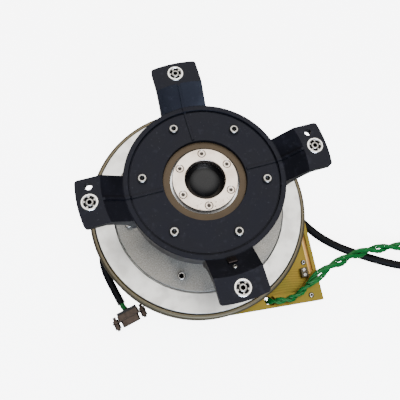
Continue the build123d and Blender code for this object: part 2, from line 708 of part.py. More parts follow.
with BuildPart() as rotor_screws:
    with Locations((0, 0, ROTOR_BOTTOM)):
        with PolarLocations(ROTOR_SCREW_R, 6):
            Cone(2.8, 1.45, 1.35, align=(Align.CENTER, Align.CENTER, Align.MIN))
            Cylinder(1.45, 9.5, align=(Align.CENTER, Align.CENTER, Align.MIN))
rotor_screws.part.label = "rotor_screws"
export_step(rotor_screws.part, "parts/rotor_screws.step")

TOOTH_COUNT = 48
with BuildPart() as tone_wheel:
    add(ring(79.5, 89.0, ROTOR_BOTTOM - 2.2, ROTOR_BOTTOM))
    with BuildSketch(Plane.XY.offset(ROTOR_BOTTOM - 2.2)):
        with PolarLocations(87.0, TOOTH_COUNT):
            Rectangle(7.0, 5.0)
    extrude(amount=1.6, mode=Mode.SUBTRACT)
tone_wheel.part.label = "tone_wheel"
export_step(tone_wheel.part, "parts/tone_wheel.step")

# ---- rotor: inner rings of the hub bearings, spacer, retainer ring and cap ----
HUB_SEAT_R = 34.0
HUB_PITCH_R = 28.25
HUB_BALL_R = 2.9
HUB_BEARING_WIDTH = 12.0
HUB_BEARING_LOWS = (HUB_SHOULDER, 96.0)
HUB_BALLS = 16
HUB_RING_GAP = 2.45
HUB_BALL_CIRCLE = (HUB_PITCH_R, HUB_BALL_R)

with BuildPart() as hub_bearing_inners:
    for low in HUB_BEARING_LOWS:
        add(race(SLEEVE_HUB_R, HUB_PITCH_R - HUB_RING_GAP, low, HUB_BEARING_WIDTH, HUB_BALL_CIRCLE))
hub_bearing_inners.part.label = "hub_bearing_inners"
export_step(hub_bearing_inners.part, "parts/hub_bearing_inners.step")

with BuildPart() as bearing_spacer:
    add(ring(SLEEVE_HUB_R, SPACER_R, HUB_BEARING_LOWS[0] + HUB_BEARING_WIDTH, HUB_BEARING_LOWS[1]))
bearing_spacer.part.label = "bearing_spacer"
export_step(bearing_spacer.part, "parts/bearing_spacer.step")

RETAINER_LOW = 108.0
RETAINER_TOP = 115.0
RETAINER_R = 23.75
CAP_R = 14.5
with BuildPart() as retainer_ring:
    add(ring(CAP_R + 0.1, RETAINER_R, RETAINER_LOW, RETAINER_TOP))
    chamfer(retainer_ring.edges().group_by(Axis.Z)[-1], length=0.35)
    with Locations((0, 0, RETAINER_TOP)):
        with PolarLocations(RETAINER_SCREW_R, 6, start_angle=RING_PHASE):
            CounterSinkHole(1.6, 3.1, depth=RETAINER_TOP - RETAINER_LOW, counter_sink_angle=90)
retainer_ring.part.label = "retainer_ring"
export_step(retainer_ring.part, "parts/retainer_ring.step")

with BuildPart() as retainer_screws:
    screw = countersunk_screw(2.6, 1.45, 14.0, 1.15)
    add(placed(screw, RETAINER_TOP - 0.1, RETAINER_SCREW_R, 6, RING_PHASE))
retainer_screws.part.label = "retainer_screws"
export_step(retainer_screws.part, "parts/retainer_screws.step")

CAP_FOOT = 101.0
DOME_EDGE = 109.5
DOME_TOP = 113.8
DOME_R = (CAP_R**2 + (DOME_TOP - DOME_EDGE) ** 2) / (2 * (DOME_TOP - DOME_EDGE))


def dome_height(out_r):
    """The height of the cap's spherical crown at a distance from the axis."""
    return DOME_TOP - DOME_R + (DOME_R**2 - out_r**2) ** 0.5


with BuildPart() as dome_cap:
    with BuildSketch(Plane.XZ):
        with BuildLine():
            Polyline(
                (0, CAP_FOOT), (CAP_BORE_R - 0.1, CAP_FOOT), (CAP_BORE_R - 0.1, RETAINER_LOW),
                (CAP_R, RETAINER_LOW), (CAP_R, DOME_EDGE),
            )
            ThreePointArc((CAP_R, DOME_EDGE), (CAP_R / 2, dome_height(CAP_R / 2)), (0, DOME_TOP))
            Line((0, DOME_TOP), (0, CAP_FOOT))
        make_face()
    revolve(axis=Axis.Z)
dome_cap.part.label = "dome_cap"
export_step(dome_cap.part, "parts/dome_cap.step")

# ---- output: hub, its bearing rings and the carrier plate ----
CARRIER_SCREW_R = 40.0
SPIDER_SCREW_R = 44.8
SPIDER_SCREW_PHASE = ARM_PHASE + 45
HUB_LIP = 32.0  # the shoulder between the two hub bearings
HUB_NECK = 96.0
HUB_HEAD_R = 52.0
HUB_HEAD_LOW = 102.0
SHIELD_SEAT_R = 38.0
SHIELD_SEAT = 108.0
SHIELD_IN_R = 25.2
SHIELD_TOP_R = 30.2
SHIELD_TOP = 112.2
with BuildPart() as output_hub:
    with BuildSketch(Plane.XZ):
        with BuildLine():
            Polyline(
                (HUB_SEAT_R, CARRIER_TOP), (HUB_R, CARRIER_TOP), (HUB_R, HUB_NECK),
                (HUB_HEAD_R, HUB_HEAD_LOW),
                (HUB_HEAD_R, HUB_TOP), (SHIELD_SEAT_R + 0.3, HUB_TOP),
                (SHIELD_SEAT_R + 0.3, SHIELD_SEAT), (HUB_SEAT_R, SHIELD_SEAT),
                (HUB_SEAT_R, HUB_BEARING_LOWS[1]), (HUB_LIP, HUB_BEARING_LOWS[1]),
                (HUB_LIP, HUB_BEARING_LOWS[0] + HUB_BEARING_WIDTH),
                (HUB_SEAT_R, HUB_BEARING_LOWS[0] + HUB_BEARING_WIDTH),
                close=True,
            )
        make_face()
    revolve(axis=Axis.Z)
    with BuildSketch(Plane.XY.offset(CARRIER_TOP)):
        with PolarLocations(CARRIER_SCREW_R, 6, start_angle=ARM_PHASE):
            Circle(2.0)
    extrude(amount=11.0, mode=Mode.SUBTRACT)
    with BuildSketch(Plane.XY.offset(HUB_TOP)):
        with PolarLocations(SPIDER_SCREW_R, 6, start_angle=SPIDER_SCREW_PHASE):
            Circle(2.0)
    extrude(amount=-11.0, mode=Mode.SUBTRACT)
output_hub.part.label = "output_hub"
export_step(output_hub.part, "parts/output_hub.step")

with BuildPart() as hub_bearing_outers:
    for low in HUB_BEARING_LOWS:
        add(race(HUB_PITCH_R + HUB_RING_GAP, HUB_SEAT_R, low, HUB_BEARING_WIDTH, HUB_BALL_CIRCLE))
hub_bearing_outers.part.label = "hub_bearing_outers"
export_step(hub_bearing_outers.part, "parts/hub_bearing_outers.step")

with BuildPart() as hub_bearing_balls:
    for low in HUB_BEARING_LOWS:
        add(balls(HUB_PITCH_R, HUB_BALL_R, low + HUB_BEARING_WIDTH / 2, HUB_BALLS))
hub_bearing_balls.part.label = "hub_bearing_balls"
export_step(hub_bearing_balls.part, "parts/hub_bearing_balls.step")

with BuildPart() as hub_bearing_cages:
    for low in HUB_BEARING_LOWS:
        add(cage(HUB_PITCH_R, HUB_BALL_R, low + HUB_BEARING_WIDTH / 2, HUB_BALLS, 1.2, 4.2))
hub_bearing_cages.part.label = "hub_bearing_cages"
export_step(hub_bearing_cages.part, "parts/hub_bearing_cages.step")

with BuildPart() as carrier_plate:
    add(ring(35.5, CARRIER_R, CARRIER_LOW, CARRIER_TOP))
    chamfer(carrier_plate.edges().group_by(Axis.Z)[-1].sort_by(SortBy.RADIUS)[-1], length=0.4)
    with BuildSketch(Plane.XY.offset(CARRIER_LOW)):
        with PolarLocations(SPRING_SCREW_R, 6, start_angle=ARM_PHASE):
            Circle(2.0)
        with PolarLocations(WINDOW_R, 3, start_angle=ARM_PHASE + 30):
            Circle(9.0)
        with PolarLocations(CARRIER_SCREW_R, 6, start_angle=ARM_PHASE):
            Circle(2.0)
    extrude(amount=CARRIER_TOP - CARRIER_LOW, mode=Mode.SUBTRACT)
    with Locations((0, 0, CARRIER_LOW)):
        with PolarLocations(CARRIER_SCREW_R, 6, start_angle=ARM_PHASE):
            Cone(3.9, 2.0, 1.9, align=(Align.CENTER, Align.CENTER, Align.MIN), mode=Mode.SUBTRACT)
carrier_plate.part.label = "carrier_plate"
export_step(carrier_plate.part, "parts/carrier_plate.step")

with BuildPart() as carrier_hub_screws:
    with Locations((0, 0, CARRIER_LOW)):
        with PolarLocations(CARRIER_SCREW_R, 6, start_angle=ARM_PHASE):
            Cone(3.8, 1.95, 1.85, align=(Align.CENTER, Align.CENTER, Align.MIN))
            Cylinder(1.95, 14.0, align=(Align.CENTER, Align.CENTER, Align.MIN))
carrier_hub_screws.part.label = "carrier_hub_screws"
export_step(carrier_hub_screws.part, "parts/carrier_hub_screws.step")

# ---- output: leaf springs that carry the armature, their screws and nuts ----
SPRING_LOW = 43.6
SPRING_TOP = 44.1
with BuildPart() as spring_screws:
    add(placed(cap_screw(3.4, 3.6, 1.95, 7.4, 1.7), CARRIER_TOP, SPRING_SCREW_R, 6, ARM_PHASE))
spring_screws.part.label = "spring_screws"
export_step(spring_screws.part, "parts/spring_screws.step")

with BuildPart() as spring_nuts:
    with BuildSketch(Plane.XY.offset(SPRING_LOW - 2.6)):
        with PolarLocations(SPRING_SCREW_R, 6, start_angle=ARM_PHASE):
            RegularPolygon(3.9, 6)
            Circle(1.95, mode=Mode.SUBTRACT)
    extrude(amount=2.6)
spring_nuts.part.label = "spring_nuts"
export_step(spring_nuts.part, "parts/spring_nuts.step")

with BuildPart() as leaf_springs:
    for start in (0, 120, 240):
        ends = [ARM_PHASE + start, ARM_PHASE + start + 60]
        middle = radians(ARM_PHASE + start + 30)
        with BuildSketch(Plane.XY.offset(SPRING_LOW)):
            with BuildLine():
                Polyline(
                    (SPRING_SCREW_R * cos(radians(ends[0])), SPRING_SCREW_R * sin(radians(ends[0]))),
                    (WINDOW_R * cos(middle), WINDOW_R * sin(middle)),
                    (SPRING_SCREW_R * cos(radians(ends[1])), SPRING_SCREW_R * sin(radians(ends[1]))),
                )
                offset(amount=5.0, side=Side.BOTH)
            make_face()
            with PolarLocations(SPRING_SCREW_R, 2, start_angle=ends[0], angular_range=60, endpoint=True):
                Circle(2.0, mode=Mode.SUBTRACT)
            with Locations((WINDOW_R * cos(middle), WINDOW_R * sin(middle))):
                Circle(2.2, mode=Mode.SUBTRACT)
        extrude(amount=SPRING_TOP - SPRING_LOW)
leaf_springs.part.label = "leaf_springs"
export_step(leaf_springs.part, "parts/leaf_springs.step")

# ---- armature, pulled across the air gap by the coil ----
ARMATURE_LOW = FRICTION_FACE + AIR_GAP
ARMATURE_TOP = SPRING_LOW - 0.1
with BuildPart() as armature_ring:
    add(ring(46.5, 70.0, ARMATURE_LOW, ARMATURE_TOP))
    with BuildSketch(Plane.XY.offset(ARMATURE_LOW)):
        with PolarLocations(SPRING_SCREW_R, 6, start_angle=ARM_PHASE):
            Circle(4.8)
        with PolarLocations(WINDOW_R, 3, start_angle=ARM_PHASE + 30):
            Circle(2.0)
    extrude(amount=ARMATURE_TOP - ARMATURE_LOW, mode=Mode.SUBTRACT)
armature_ring.part.label = "armature_ring"
export_step(armature_ring.part, "parts/armature_ring.step")

RIVET_SEAT = SPRING_TOP + 0.1  # under the rivets' heads
with BuildPart() as armature_rivets:
    with Locations((0, 0, ARMATURE_LOW + 0.4)):
        with PolarLocations(WINDOW_R, 3, start_angle=ARM_PHASE + 30):
            Cylinder(2.0, RIVET_SEAT - ARMATURE_LOW - 0.4, align=(Align.CENTER, Align.CENTER, Align.MIN))
    with Locations((0, 0, RIVET_SEAT)):
        with PolarLocations(WINDOW_R, 3, start_angle=ARM_PHASE + 30):
            Cylinder(4.0, 1.8, align=(Align.CENTER, Align.CENTER, Align.MIN))
    fillet(armature_rivets.edges().group_by(Axis.Z)[-1], radius=1.2)
armature_rivets.part.label = "armature_rivets"
export_step(armature_rivets.part, "parts/armature_rivets.step")

# ---- output: brown shield ring that clamps the upper bearing ----
with BuildPart() as bearing_shield:
    with BuildSketch(Plane.XZ):
        with BuildLine():
            Polyline(
                (SHIELD_IN_R, SHIELD_SEAT + 0.7), (31.0, SHIELD_SEAT + 0.7), (31.0, SHIELD_SEAT),
                (SHIELD_SEAT_R, SHIELD_SEAT), (SHIELD_SEAT_R, HUB_TOP), (SHIELD_TOP_R, HUB_TOP),
                (SHIELD_TOP_R, SHIELD_TOP), (SHIELD_IN_R, SHIELD_TOP),
                close=True,
            )
        make_face()
    revolve(axis=Axis.Z)
bearing_shield.part.label = "bearing_shield"
export_step(bearing_shield.part, "parts/bearing_shield.step")

# ---- output: the black four-arm spider ----
ARM_THICK = 5.0
EYELET_R = 6.05
LOCATING_R = 80.3
LOCATING_ANGLE = 7.8
LOCATING_HOLE_R = 2.5
SPIDER_BORE_R = 30.5
LIP_IN_R = 54.6
RIB_WIDTH = 1.8
ARM_ROOT = LIP_TOP - 0.2  # height at which an arm's slope leaves the lip
ARM_CORNER_R = 2.4
GUSSET_THICK = 3.0
GUSSET_FOOT = SKIRT_BOTTOM + 2.5
COUNTERBORE_R = 4.35
COUNTERBORE_DEPTH = 3.0
SHOULDER_R = 1.7  # of the arm screws, where they pass through the arm
EYELET_DEPTH = 1.4


def arm_blank():
    """One raised arm on the +X side, with a gusset down each edge."""
    with BuildPart() as made:
        with BuildSketch(Plane.XZ):
            with BuildLine():
                Polyline(
                    (SPIDER_R - 2.0, SPIDER_FACE - 4.0), (SPIDER_R - 1.5, ARM_ROOT), (SPIDER_R, ARM_ROOT),
                    (PAD_R, ARM_TOP), (ARM_R, ARM_TOP), (ARM_R, ARM_TOP - ARM_THICK),
                    (PAD_R + 1.7, ARM_TOP - ARM_THICK), (SPIDER_R + 0.8, SPIDER_FACE - 4.6),
                    close=True,
                )
            make_face()
        revolve(axis=Axis.Z)
        with BuildSketch(Plane.XY.offset(SKIRT_BOTTOM)):
            with Locations((75.0, 0)):
                Rectangle(60.0, ARM_WIDTH)
        extrude(amount=ARM_TOP - SKIRT_BOTTOM + 1.0, mode=Mode.INTERSECT)
        fillet(made.edges().filter_by(Axis.Z).group_by(Axis.X)[-1], radius=ARM_CORNER_R)
        for side in (-1, 1):
            with BuildSketch(Plane.XZ.offset(side * (ARM_WIDTH / 2 - GUSSET_THICK / 2))):
                with BuildLine():
                    Line((55.0, GUSSET_FOOT), (58.0, GUSSET_FOOT))
                    ThreePointArc((58.0, GUSSET_FOOT), (64.0, 113.0), (76.5, 124.5))
                    Polyline((76.5, 124.5), (73.0, 125.5), (59.0, 113.5), (55.0, 112.0), (55.0, GUSSET_FOOT))
                make_face()
            extrude(amount=GUSSET_THICK / 2, both=True)
    return made.part


def rib_blank():
    """The thin rib along an arm's middle, from the bore to the pad."""
    with BuildPart() as made:
        with BuildSketch(Plane.XZ):
            with BuildLine():
                Polyline(
                    (SPIDER_BORE_R + 1.0, SPIDER_FACE - 1.0), (SPIDER_BORE_R + 1.0, SPIDER_FACE + 1.0),
                    (LIP_IN_R - 1.2, SPIDER_FACE + 1.0), (LIP_IN_R, LIP_TOP + 1.1),
                    (SPIDER_R - 0.6, LIP_TOP + 1.1), (PAD_R - 1.7, ARM_TOP), (PAD_R, ARM_TOP),
                    (PAD_R, ARM_TOP - 1.5), (SPIDER_R, LIP_TOP - 1.5),
                    close=True,
                )
            make_face()
        extrude(amount=RIB_WIDTH / 2, both=True)
    return made.part


SLOPE_RUN = PAD_R - SPIDER_R
SLOPE_RISE = ARM_TOP - ARM_ROOT
SLOPE_LENGTH = hypot(SLOPE_RUN, SLOPE_RISE)
INDEX_ANGLE = radians(ARM_PHASE + 270)
INDEX_SCREW_UP = 10.8  # up the slope from the lip


def slope_plane(along):
    """A plane on the fourth arm's slope, that many millimetres up it."""
    out_r = SPIDER_R + SLOPE_RUN * along / SLOPE_LENGTH
    height = ARM_ROOT + SLOPE_RISE * along / SLOPE_LENGTH
    lean_out = -SLOPE_RISE / SLOPE_LENGTH
    return Plane(
        origin=(out_r * cos(INDEX_ANGLE), out_r * sin(INDEX_ANGLE), height),
        x_dir=(-sin(INDEX_ANGLE), cos(INDEX_ANGLE), 0),
        z_dir=(lean_out * cos(INDEX_ANGLE), lean_out * sin(INDEX_ANGLE), SLOPE_RUN / SLOPE_LENGTH),
    )


BAND_LOW = 108.0  # the skirt's thicker band starts here
with BuildPart() as spider:
    with BuildSketch(Plane.XZ):
        with BuildLine():
            Polyline(
                (SPIDER_BORE_R, HUB_TOP), (SPIDER_R - 3.2, HUB_TOP), (SPIDER_R - 3.2, SKIRT_BOTTOM),
                (SPIDER_R - 0.6, SKIRT_BOTTOM), (SPIDER_R - 0.6, BAND_LOW), (SPIDER_R, BAND_LOW + 1.5),
                (SPIDER_R, LIP_TOP), (LIP_IN_R, LIP_TOP), (LIP_IN_R, SPIDER_FACE - 0.6),
                (LIP_IN_R - 0.9, SPIDER_FACE - 0.6), (LIP_IN_R - 0.9, SPIDER_FACE),
                (SPIDER_BORE_R, SPIDER_FACE),
                close=True,
            )
        make_face()
    revolve(axis=Axis.Z)
    fillet(spider.edges().group_by(Axis.Z)[-1], radius=0.6)
    with PolarLocations(0, 4, start_angle=ARM_PHASE):
        add(arm_blank())
    # three arms have a rib, and the fourth carries the index block instead
    with PolarLocations(0, 3, start_angle=ARM_PHASE, angular_range=180, endpoint=True):
        add(rib_blank())
    with BuildSketch(Plane.XY.offset(HUB_TOP)):
        with PolarLocations(SPIDER_SCREW_R, 6, start_angle=SPIDER_SCREW_PHASE):
            Circle(2.1)
    extrude(amount=SPIDER_FACE - HUB_TOP, mode=Mode.SUBTRACT)
    with BuildSketch(Plane.XY.offset(ARM_TOP)):
        with PolarLocations(ARM_SCREW_R, 4, start_angle=ARM_PHASE):
            Circle(EYELET_R)
    extrude(amount=-EYELET_DEPTH, mode=Mode.SUBTRACT)
    with BuildSketch(Plane.XY.offset(ARM_TOP)):
        with PolarLocations(ARM_SCREW_R, 4, start_angle=ARM_PHASE):
            Circle(COUNTERBORE_R)
    extrude(amount=-COUNTERBORE_DEPTH, mode=Mode.SUBTRACT)
    with BuildSketch(Plane.XY.offset(ARM_TOP)):
        with PolarLocations(ARM_SCREW_R, 4, start_angle=ARM_PHASE):
            Circle(SHOULDER_R + 0.1)
        with PolarLocations(LOCATING_R, 1, start_angle=ARM_PHASE + LOCATING_ANGLE):
            Circle(LOCATING_HOLE_R)
        with PolarLocations(LOCATING_R, 1, start_angle=ARM_PHASE + 180 - LOCATING_ANGLE):
            Circle(LOCATING_HOLE_R)
    extrude(amount=-ARM_THICK - 1.0, mode=Mode.SUBTRACT)
    with BuildSketch(slope_plane(INDEX_SCREW_UP)):
        Circle(1.25)
    extrude(amount=-3.6, mode=Mode.SUBTRACT)
spider.part.label = "spider"
export_step(spider.part, "parts/spider.step")

with BuildPart() as spider_screws:
    add(placed(cap_screw(3.45, 2.4, 1.95, 14.0, 1.7), SPIDER_FACE, SPIDER_SCREW_R, 6, SPIDER_SCREW_PHASE))
spider_screws.part.label = "spider_screws"
export_step(spider_screws.part, "parts/spider_screws.step")

with BuildPart() as arm_eyelets:
    with BuildSketch(Plane.XY.offset(ARM_TOP - EYELET_DEPTH)):
        with PolarLocations(ARM_SCREW_R, 4, start_angle=ARM_PHASE):
            Circle(EYELET_R)
            Circle(COUNTERBORE_R, mode=Mode.SUBTRACT)
    extrude(amount=EYELET_DEPTH + 0.4)
    chamfer(arm_eyelets.edges().group_by(Axis.Z)[-1], length=0.25)
arm_eyelets.part.label = "arm_eyelets"
export_step(arm_eyelets.part, "parts/arm_eyelets.step")

with BuildPart() as arm_screws:
    add(placed(cap_screw(2.9, 3.1, 1.5, 12.0, 1.45), ARM_TOP - COUNTERBORE_DEPTH, ARM_SCREW_R, 4, ARM_PHASE))
    with BuildSketch(Plane.XY.offset(ARM_TOP - ARM_THICK)):
        with PolarLocations(ARM_SCREW_R, 4, start_angle=ARM_PHASE):
            Circle(SHOULDER_R)
    extrude(amount=ARM_THICK - COUNTERBORE_DEPTH)
arm_screws.part.label = "arm_screws"
export_step(arm_screws.part, "parts/arm_screws.step")

# ---- output: index block and its screw on the fourth arm's slope ----
with BuildPart() as index_block:
    with BuildSketch(slope_plane(4.6).offset(0.15)):
        Rectangle(6.3, 5.0)
    extrude(amount=1.6)
    chamfer(index_block.faces().sort_by(Axis.Z)[-1].edges(), length=0.4)
index_block.part.label = "index_block"
export_step(index_block.part, "parts/index_block.step")

with BuildPart() as index_screw:
    add(slope_plane(INDEX_SCREW_UP).offset(0.06).location * cap_screw(2.0, 1.4, 1.2, 3.0, 0.9))
index_screw.part.label = "index_screw"
export_step(index_screw.part, "parts/index_screw.step")
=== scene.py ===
# %% [markdown]
# # An electromagnetic clutch, dressed for a studio picture
# The clutch is already built as a CAD assembly: every plate, screw and bearing sits where it belongs.
# This lesson keeps those parts where they are and gives them what a CAD model lacks: real finishes,
# finely made screws, twisted leads and a cable that lies the way a cable lies.
# Everything is in metres, but most of the shapes below are worked out in millimetres and scaled once.

# %% Load the assembly
import json
from math import atan2, cos, hypot, pi, radians, sin

import bmesh
import bpy
from mathutils import Matrix, Vector


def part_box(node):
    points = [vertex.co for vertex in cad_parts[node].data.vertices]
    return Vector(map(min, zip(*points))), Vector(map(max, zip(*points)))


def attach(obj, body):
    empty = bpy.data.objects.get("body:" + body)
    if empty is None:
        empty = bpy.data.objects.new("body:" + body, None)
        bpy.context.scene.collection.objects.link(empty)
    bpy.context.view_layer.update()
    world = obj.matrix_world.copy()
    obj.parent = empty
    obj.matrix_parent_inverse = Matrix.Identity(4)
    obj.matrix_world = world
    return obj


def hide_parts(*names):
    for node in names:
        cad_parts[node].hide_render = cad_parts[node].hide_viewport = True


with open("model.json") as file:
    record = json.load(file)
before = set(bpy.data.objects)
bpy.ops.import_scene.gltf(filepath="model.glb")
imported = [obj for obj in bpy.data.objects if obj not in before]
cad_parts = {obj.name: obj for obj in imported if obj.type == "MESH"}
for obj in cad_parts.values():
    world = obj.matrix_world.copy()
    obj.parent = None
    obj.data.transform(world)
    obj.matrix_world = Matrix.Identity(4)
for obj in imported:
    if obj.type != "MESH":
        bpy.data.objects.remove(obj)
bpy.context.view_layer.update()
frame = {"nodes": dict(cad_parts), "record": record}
nodes = frame["nodes"]
MM = 0.001

# %% [markdown]
# ## The camera
# The clutch is seen from above and a little from the front, so that the arms stand out over the plate.
# A camera can be turned by angles, but a viewing direction and an up direction say more plainly what it
# looks at. Two cross products then make the three axes of its rotation.

# %% Camera
CAMERA_AT = Vector((-0.0407, -0.1029, 0.4063))
LOOKING = Vector((0.1121, 0.2873, -0.9513)).normalized()
HEAD_UP = Vector((0.1394, 0.9433, 0.3013))
LENS = 39.15

camera = bpy.data.objects.new("camera", bpy.data.cameras.new("camera"))
bpy.context.scene.collection.objects.link(camera)
across = LOOKING.cross(HEAD_UP).normalized()
upward = across.cross(LOOKING)
camera.matrix_world = Matrix.Translation(CAMERA_AT) @ Matrix((across, upward, -LOOKING)).transposed().to_4x4()
camera.data.lens = LENS
camera.data.clip_start = 0.01
bpy.context.scene.camera = camera
print("the camera stands", round(CAMERA_AT.z, 3), "m above the table")

# %% [markdown]
# ## Finishes
# A finish is a node tree. Wiring nodes one at a time hides the idea behind the plumbing, so two small
# classes do the plumbing: `Number` lets a shader value be added and multiplied like any Python number,
# and `Finish` adds any other node from its type, its settings and its sockets.

# %% Shader values that do arithmetic
class Number:
    """A value worked out by a material; sums on it add Math nodes."""

    def __init__(self, finish, socket):
        self.finish = finish
        self.socket = socket

    def maths(self, operation, first, second):
        return self.finish.node("ShaderNodeMath", {"operation": operation}, {0: first, 1: second})

    def __add__(self, other):
        return self.maths("ADD", self, other)

    def __radd__(self, other):
        return self.maths("ADD", other, self)

    def __sub__(self, other):
        return self.maths("SUBTRACT", self, other)

    def __rsub__(self, other):
        return self.maths("SUBTRACT", other, self)

    def __mul__(self, other):
        return self.maths("MULTIPLY", self, other)

    def __rmul__(self, other):
        return self.maths("MULTIPLY", other, self)

    def __gt__(self, other):
        return self.maths("GREATER_THAN", self, other)


def shade(red, green, blue):
    """A colour as seen on a screen, 0 to 255, turned into the linear light that shaders work with."""
    linear = [(part / 255 / 12.92) if part <= 10 else ((part / 255 + 0.055) / 1.055) ** 2.4
              for part in (red, green, blue)]
    return (*linear, 1.0)


# %% One class that adds nodes, and one that grows a finish
class Wiring:
    """A node tree that is added to one node at a time."""

    def __init__(self, tree):
        self.tree = tree

    def node(self, kind, settings, sockets, output=0):
        """One node of any kind, with its settings and its sockets' values or links."""
        made = self.tree.nodes.new(kind)
        for key, value in settings.items():
            if key == "stops":
                ramp = made.color_ramp.elements
                ramp[0].position, ramp[0].color = value[0]
                ramp[1].position, ramp[1].color = value[-1]
                for position, colour in value[1:-1]:
                    ramp.new(position).color = colour
            else:
                setattr(made, key, value)
        for key, value in sockets.items():
            self.plug(made.inputs[key], value)
        return Number(self, made.outputs[output])

    def plug(self, socket, value):
        if isinstance(value, Number):
            self.tree.links.new(value.socket, socket)
        else:
            socket.default_value = value

    def spread(self, value, low, high, first=0.0, last=1.0):
        """The value's range low to high stretched to first to last, and held there."""
        sockets = {"Value": value, "From Min": low, "From Max": high, "To Min": first, "To Max": last}
        return self.node("ShaderNodeMapRange", {"interpolation_type": "SMOOTHSTEP"}, sockets)


class Finish(Wiring):
    """A procedural material on a Principled shader, patterned on Object coordinates in millimetres."""

    def __init__(self, name, colour, roughness, metallic=0.0, **fixed):
        self.material = bpy.data.materials.new(name)
        self.material.use_nodes = True
        super().__init__(self.material.node_tree)
        self.shader = self.tree.nodes["Principled BSDF"]
        self.set("Base Color", colour)
        self.set("Roughness", roughness)
        self.set("Metallic", metallic)
        for key, value in fixed.items():
            self.set(key.replace("_", " "), value)
        where = self.node("ShaderNodeTexCoord", {}, {}, "Object")
        self.place = self.node("ShaderNodeVectorMath", {"operation": "SCALE"}, {0: where, "Scale": 1000.0})

    def set(self, name, value):
        self.plug(self.shader.inputs[name], value)

    def noise(self, size, detail=3.0, place=None):
        """Cloudy noise from 0 to 1 whose patches are about size millimetres across."""
        sockets = {"Vector": place or self.place, "Scale": 1.0 / size, "Detail": detail}
        return self.node("ShaderNodeTexNoise", {}, sockets)

    def spots(self, spacing, radius):
        """1 inside small round spots that lie about spacing millimetres apart."""
        near = self.node("ShaderNodeTexVoronoi", {}, {"Vector": self.place, "Scale": 1.0 / spacing})
        return near.maths("LESS_THAN", near, radius / spacing)

    def part(self, axis, place=None):
        """One coordinate, X, Y or Z, in millimetres."""
        return self.node("ShaderNodeSeparateXYZ", {}, {0: place or self.place}, axis)

    def reach(self, x=0.0, y=0.0):
        """The distance in millimetres from a vertical line through x, y."""
        flat = self.node("ShaderNodeVectorMath", {"operation": "MULTIPLY_ADD"},
                         {0: self.place, 1: (1.0, 1.0, 0.0), 2: (-x, -y, 0.0)})
        return self.node("ShaderNodeVectorMath", {"operation": "LENGTH"}, {0: flat}, "Value")

    def rings(self, per_millimetre, detail):
        """Noise that changes only with the distance from the shaft's axis, like a lathe's rings."""
        sockets = {"W": self.reach(), "Scale": per_millimetre, "Detail": detail}
        return self.node("ShaderNodeTexNoise", {"noise_dimensions": "1D"}, sockets)

    def sunk(self):
        """1 inside a screw's socket and in the gap round a sunk head, from the number that its points carry;
        the finishes paint shade there.
        """
        return self.node("ShaderNodeAttribute", {"attribute_name": "sunk"}, {}, "Fac")

    def mix(self, share, first, second):
        """A colour between two colours."""
        return self.node("ShaderNodeMix", {"data_type": "RGBA"}, {0: share, 6: first, 7: second}, 2)

    def bump(self, height, millimetres, edge=0.25):
        """Raises the surface's shading by a height pattern, and rounds the edges' shading."""
        rounded = self.node("ShaderNodeBevel", {"samples": 4}, {"Radius": edge * MM}, "Normal")
        sockets = {"Height": height, "Distance": millimetres * MM, "Normal": rounded}
        self.set("Normal", self.node("ShaderNodeBump", {}, sockets, "Normal"))


# %% [markdown]
# ### Gold chromate
# The housing is zinc plated and dipped in yellow chromate. The film is thinner than a wavelength of light
# in places, so the gold drifts to olive and to a rosy orange. The cutter's path shows through it as shallow
# curved grooves on the pocket's floor, while the turned rim stays a plain greyish olive.
# One noise for the drift, one for the blush and a sine of the distance from the cutter's centre are enough for
# the film. The pocket's far right wall is painted a pale, less metallic gold as a painted highlight.

# %% Gold chromate
GROOVE_PITCH = 2.1
GROOVES_START_Y, GROOVES_FULL_Y = -58.0, -68.0
CUTTER_X, CUTTER_Y = 62.0, -175.0
RIM_FLOOR = 34.0
POCKET_TOP = 30.0
POCKET_WALL_X = 88.0  # the pocket's wall on the far right is at least this far out


def gold_chromate():
    finish = Finish("gold_chromate", shade(98, 76, 34), 0.36, 0.85)
    drift = finish.spread(finish.noise(26.0, 4.0), 0.32, 0.68)
    blush = finish.spread(finish.noise(13.0, 2.0), 0.55, 0.78)
    grain = finish.noise(0.9, 5.0)
    arc = finish.reach(CUTTER_X, CUTTER_Y)
    wave = finish.node("ShaderNodeMath", {"operation": "SINE"}, {0: arc * (2 * pi / GROOVE_PITCH)})
    height = finish.part("Z")
    pocket = finish.node("ShaderNodeMath", {"operation": "LESS_THAN"}, {0: height, 1: POCKET_TOP})
    near_side = finish.spread(finish.part("Y"), GROOVES_START_Y, GROOVES_FULL_Y)
    groove = (wave * 0.5 + 0.5) * pocket * near_side
    film = finish.mix(drift, shade(116, 96, 32), shade(94, 90, 28))
    film = finish.mix(blush * 0.35, film, shade(146, 86, 46))
    film = finish.mix(groove * 0.38, film, shade(62, 50, 16))
    # painted highlight: the pocket's far right wall is painted pale gold and made less metallic, standing for
    # the light on it
    painted_wall_highlight = pocket * (finish.part("X") > POCKET_WALL_X)
    film = finish.mix(painted_wall_highlight, film, shade(236, 186, 108))
    film = finish.mix((grain > 0.62) * 0.14, film, shade(160, 134, 70))
    rim = finish.spread(height, RIM_FLOOR - 0.3, RIM_FLOOR)
    film = finish.mix(rim, film, finish.mix(grain, shade(92, 84, 66), shade(104, 96, 78)))
    finish.set("Base Color", film)
    finish.set("Metallic", 0.85 - 0.6 * painted_wall_highlight)
    finish.set("Roughness", 0.30 + 0.16 * grain + 0.10 * rim)
    finish.bump(groove * 0.7 + grain * 0.3, 0.05)
    return finish.material


# %% [markdown]
# ### Turned and ground steel
# A lathe leaves rings that are finer than the eye can count but not finer than light: the face looks
# silky, brighter and darker in thin circles. Noise read along a single number, the distance from the axis,
# gives rings of uneven depth for every turned part, so one function makes each steel from its colour.

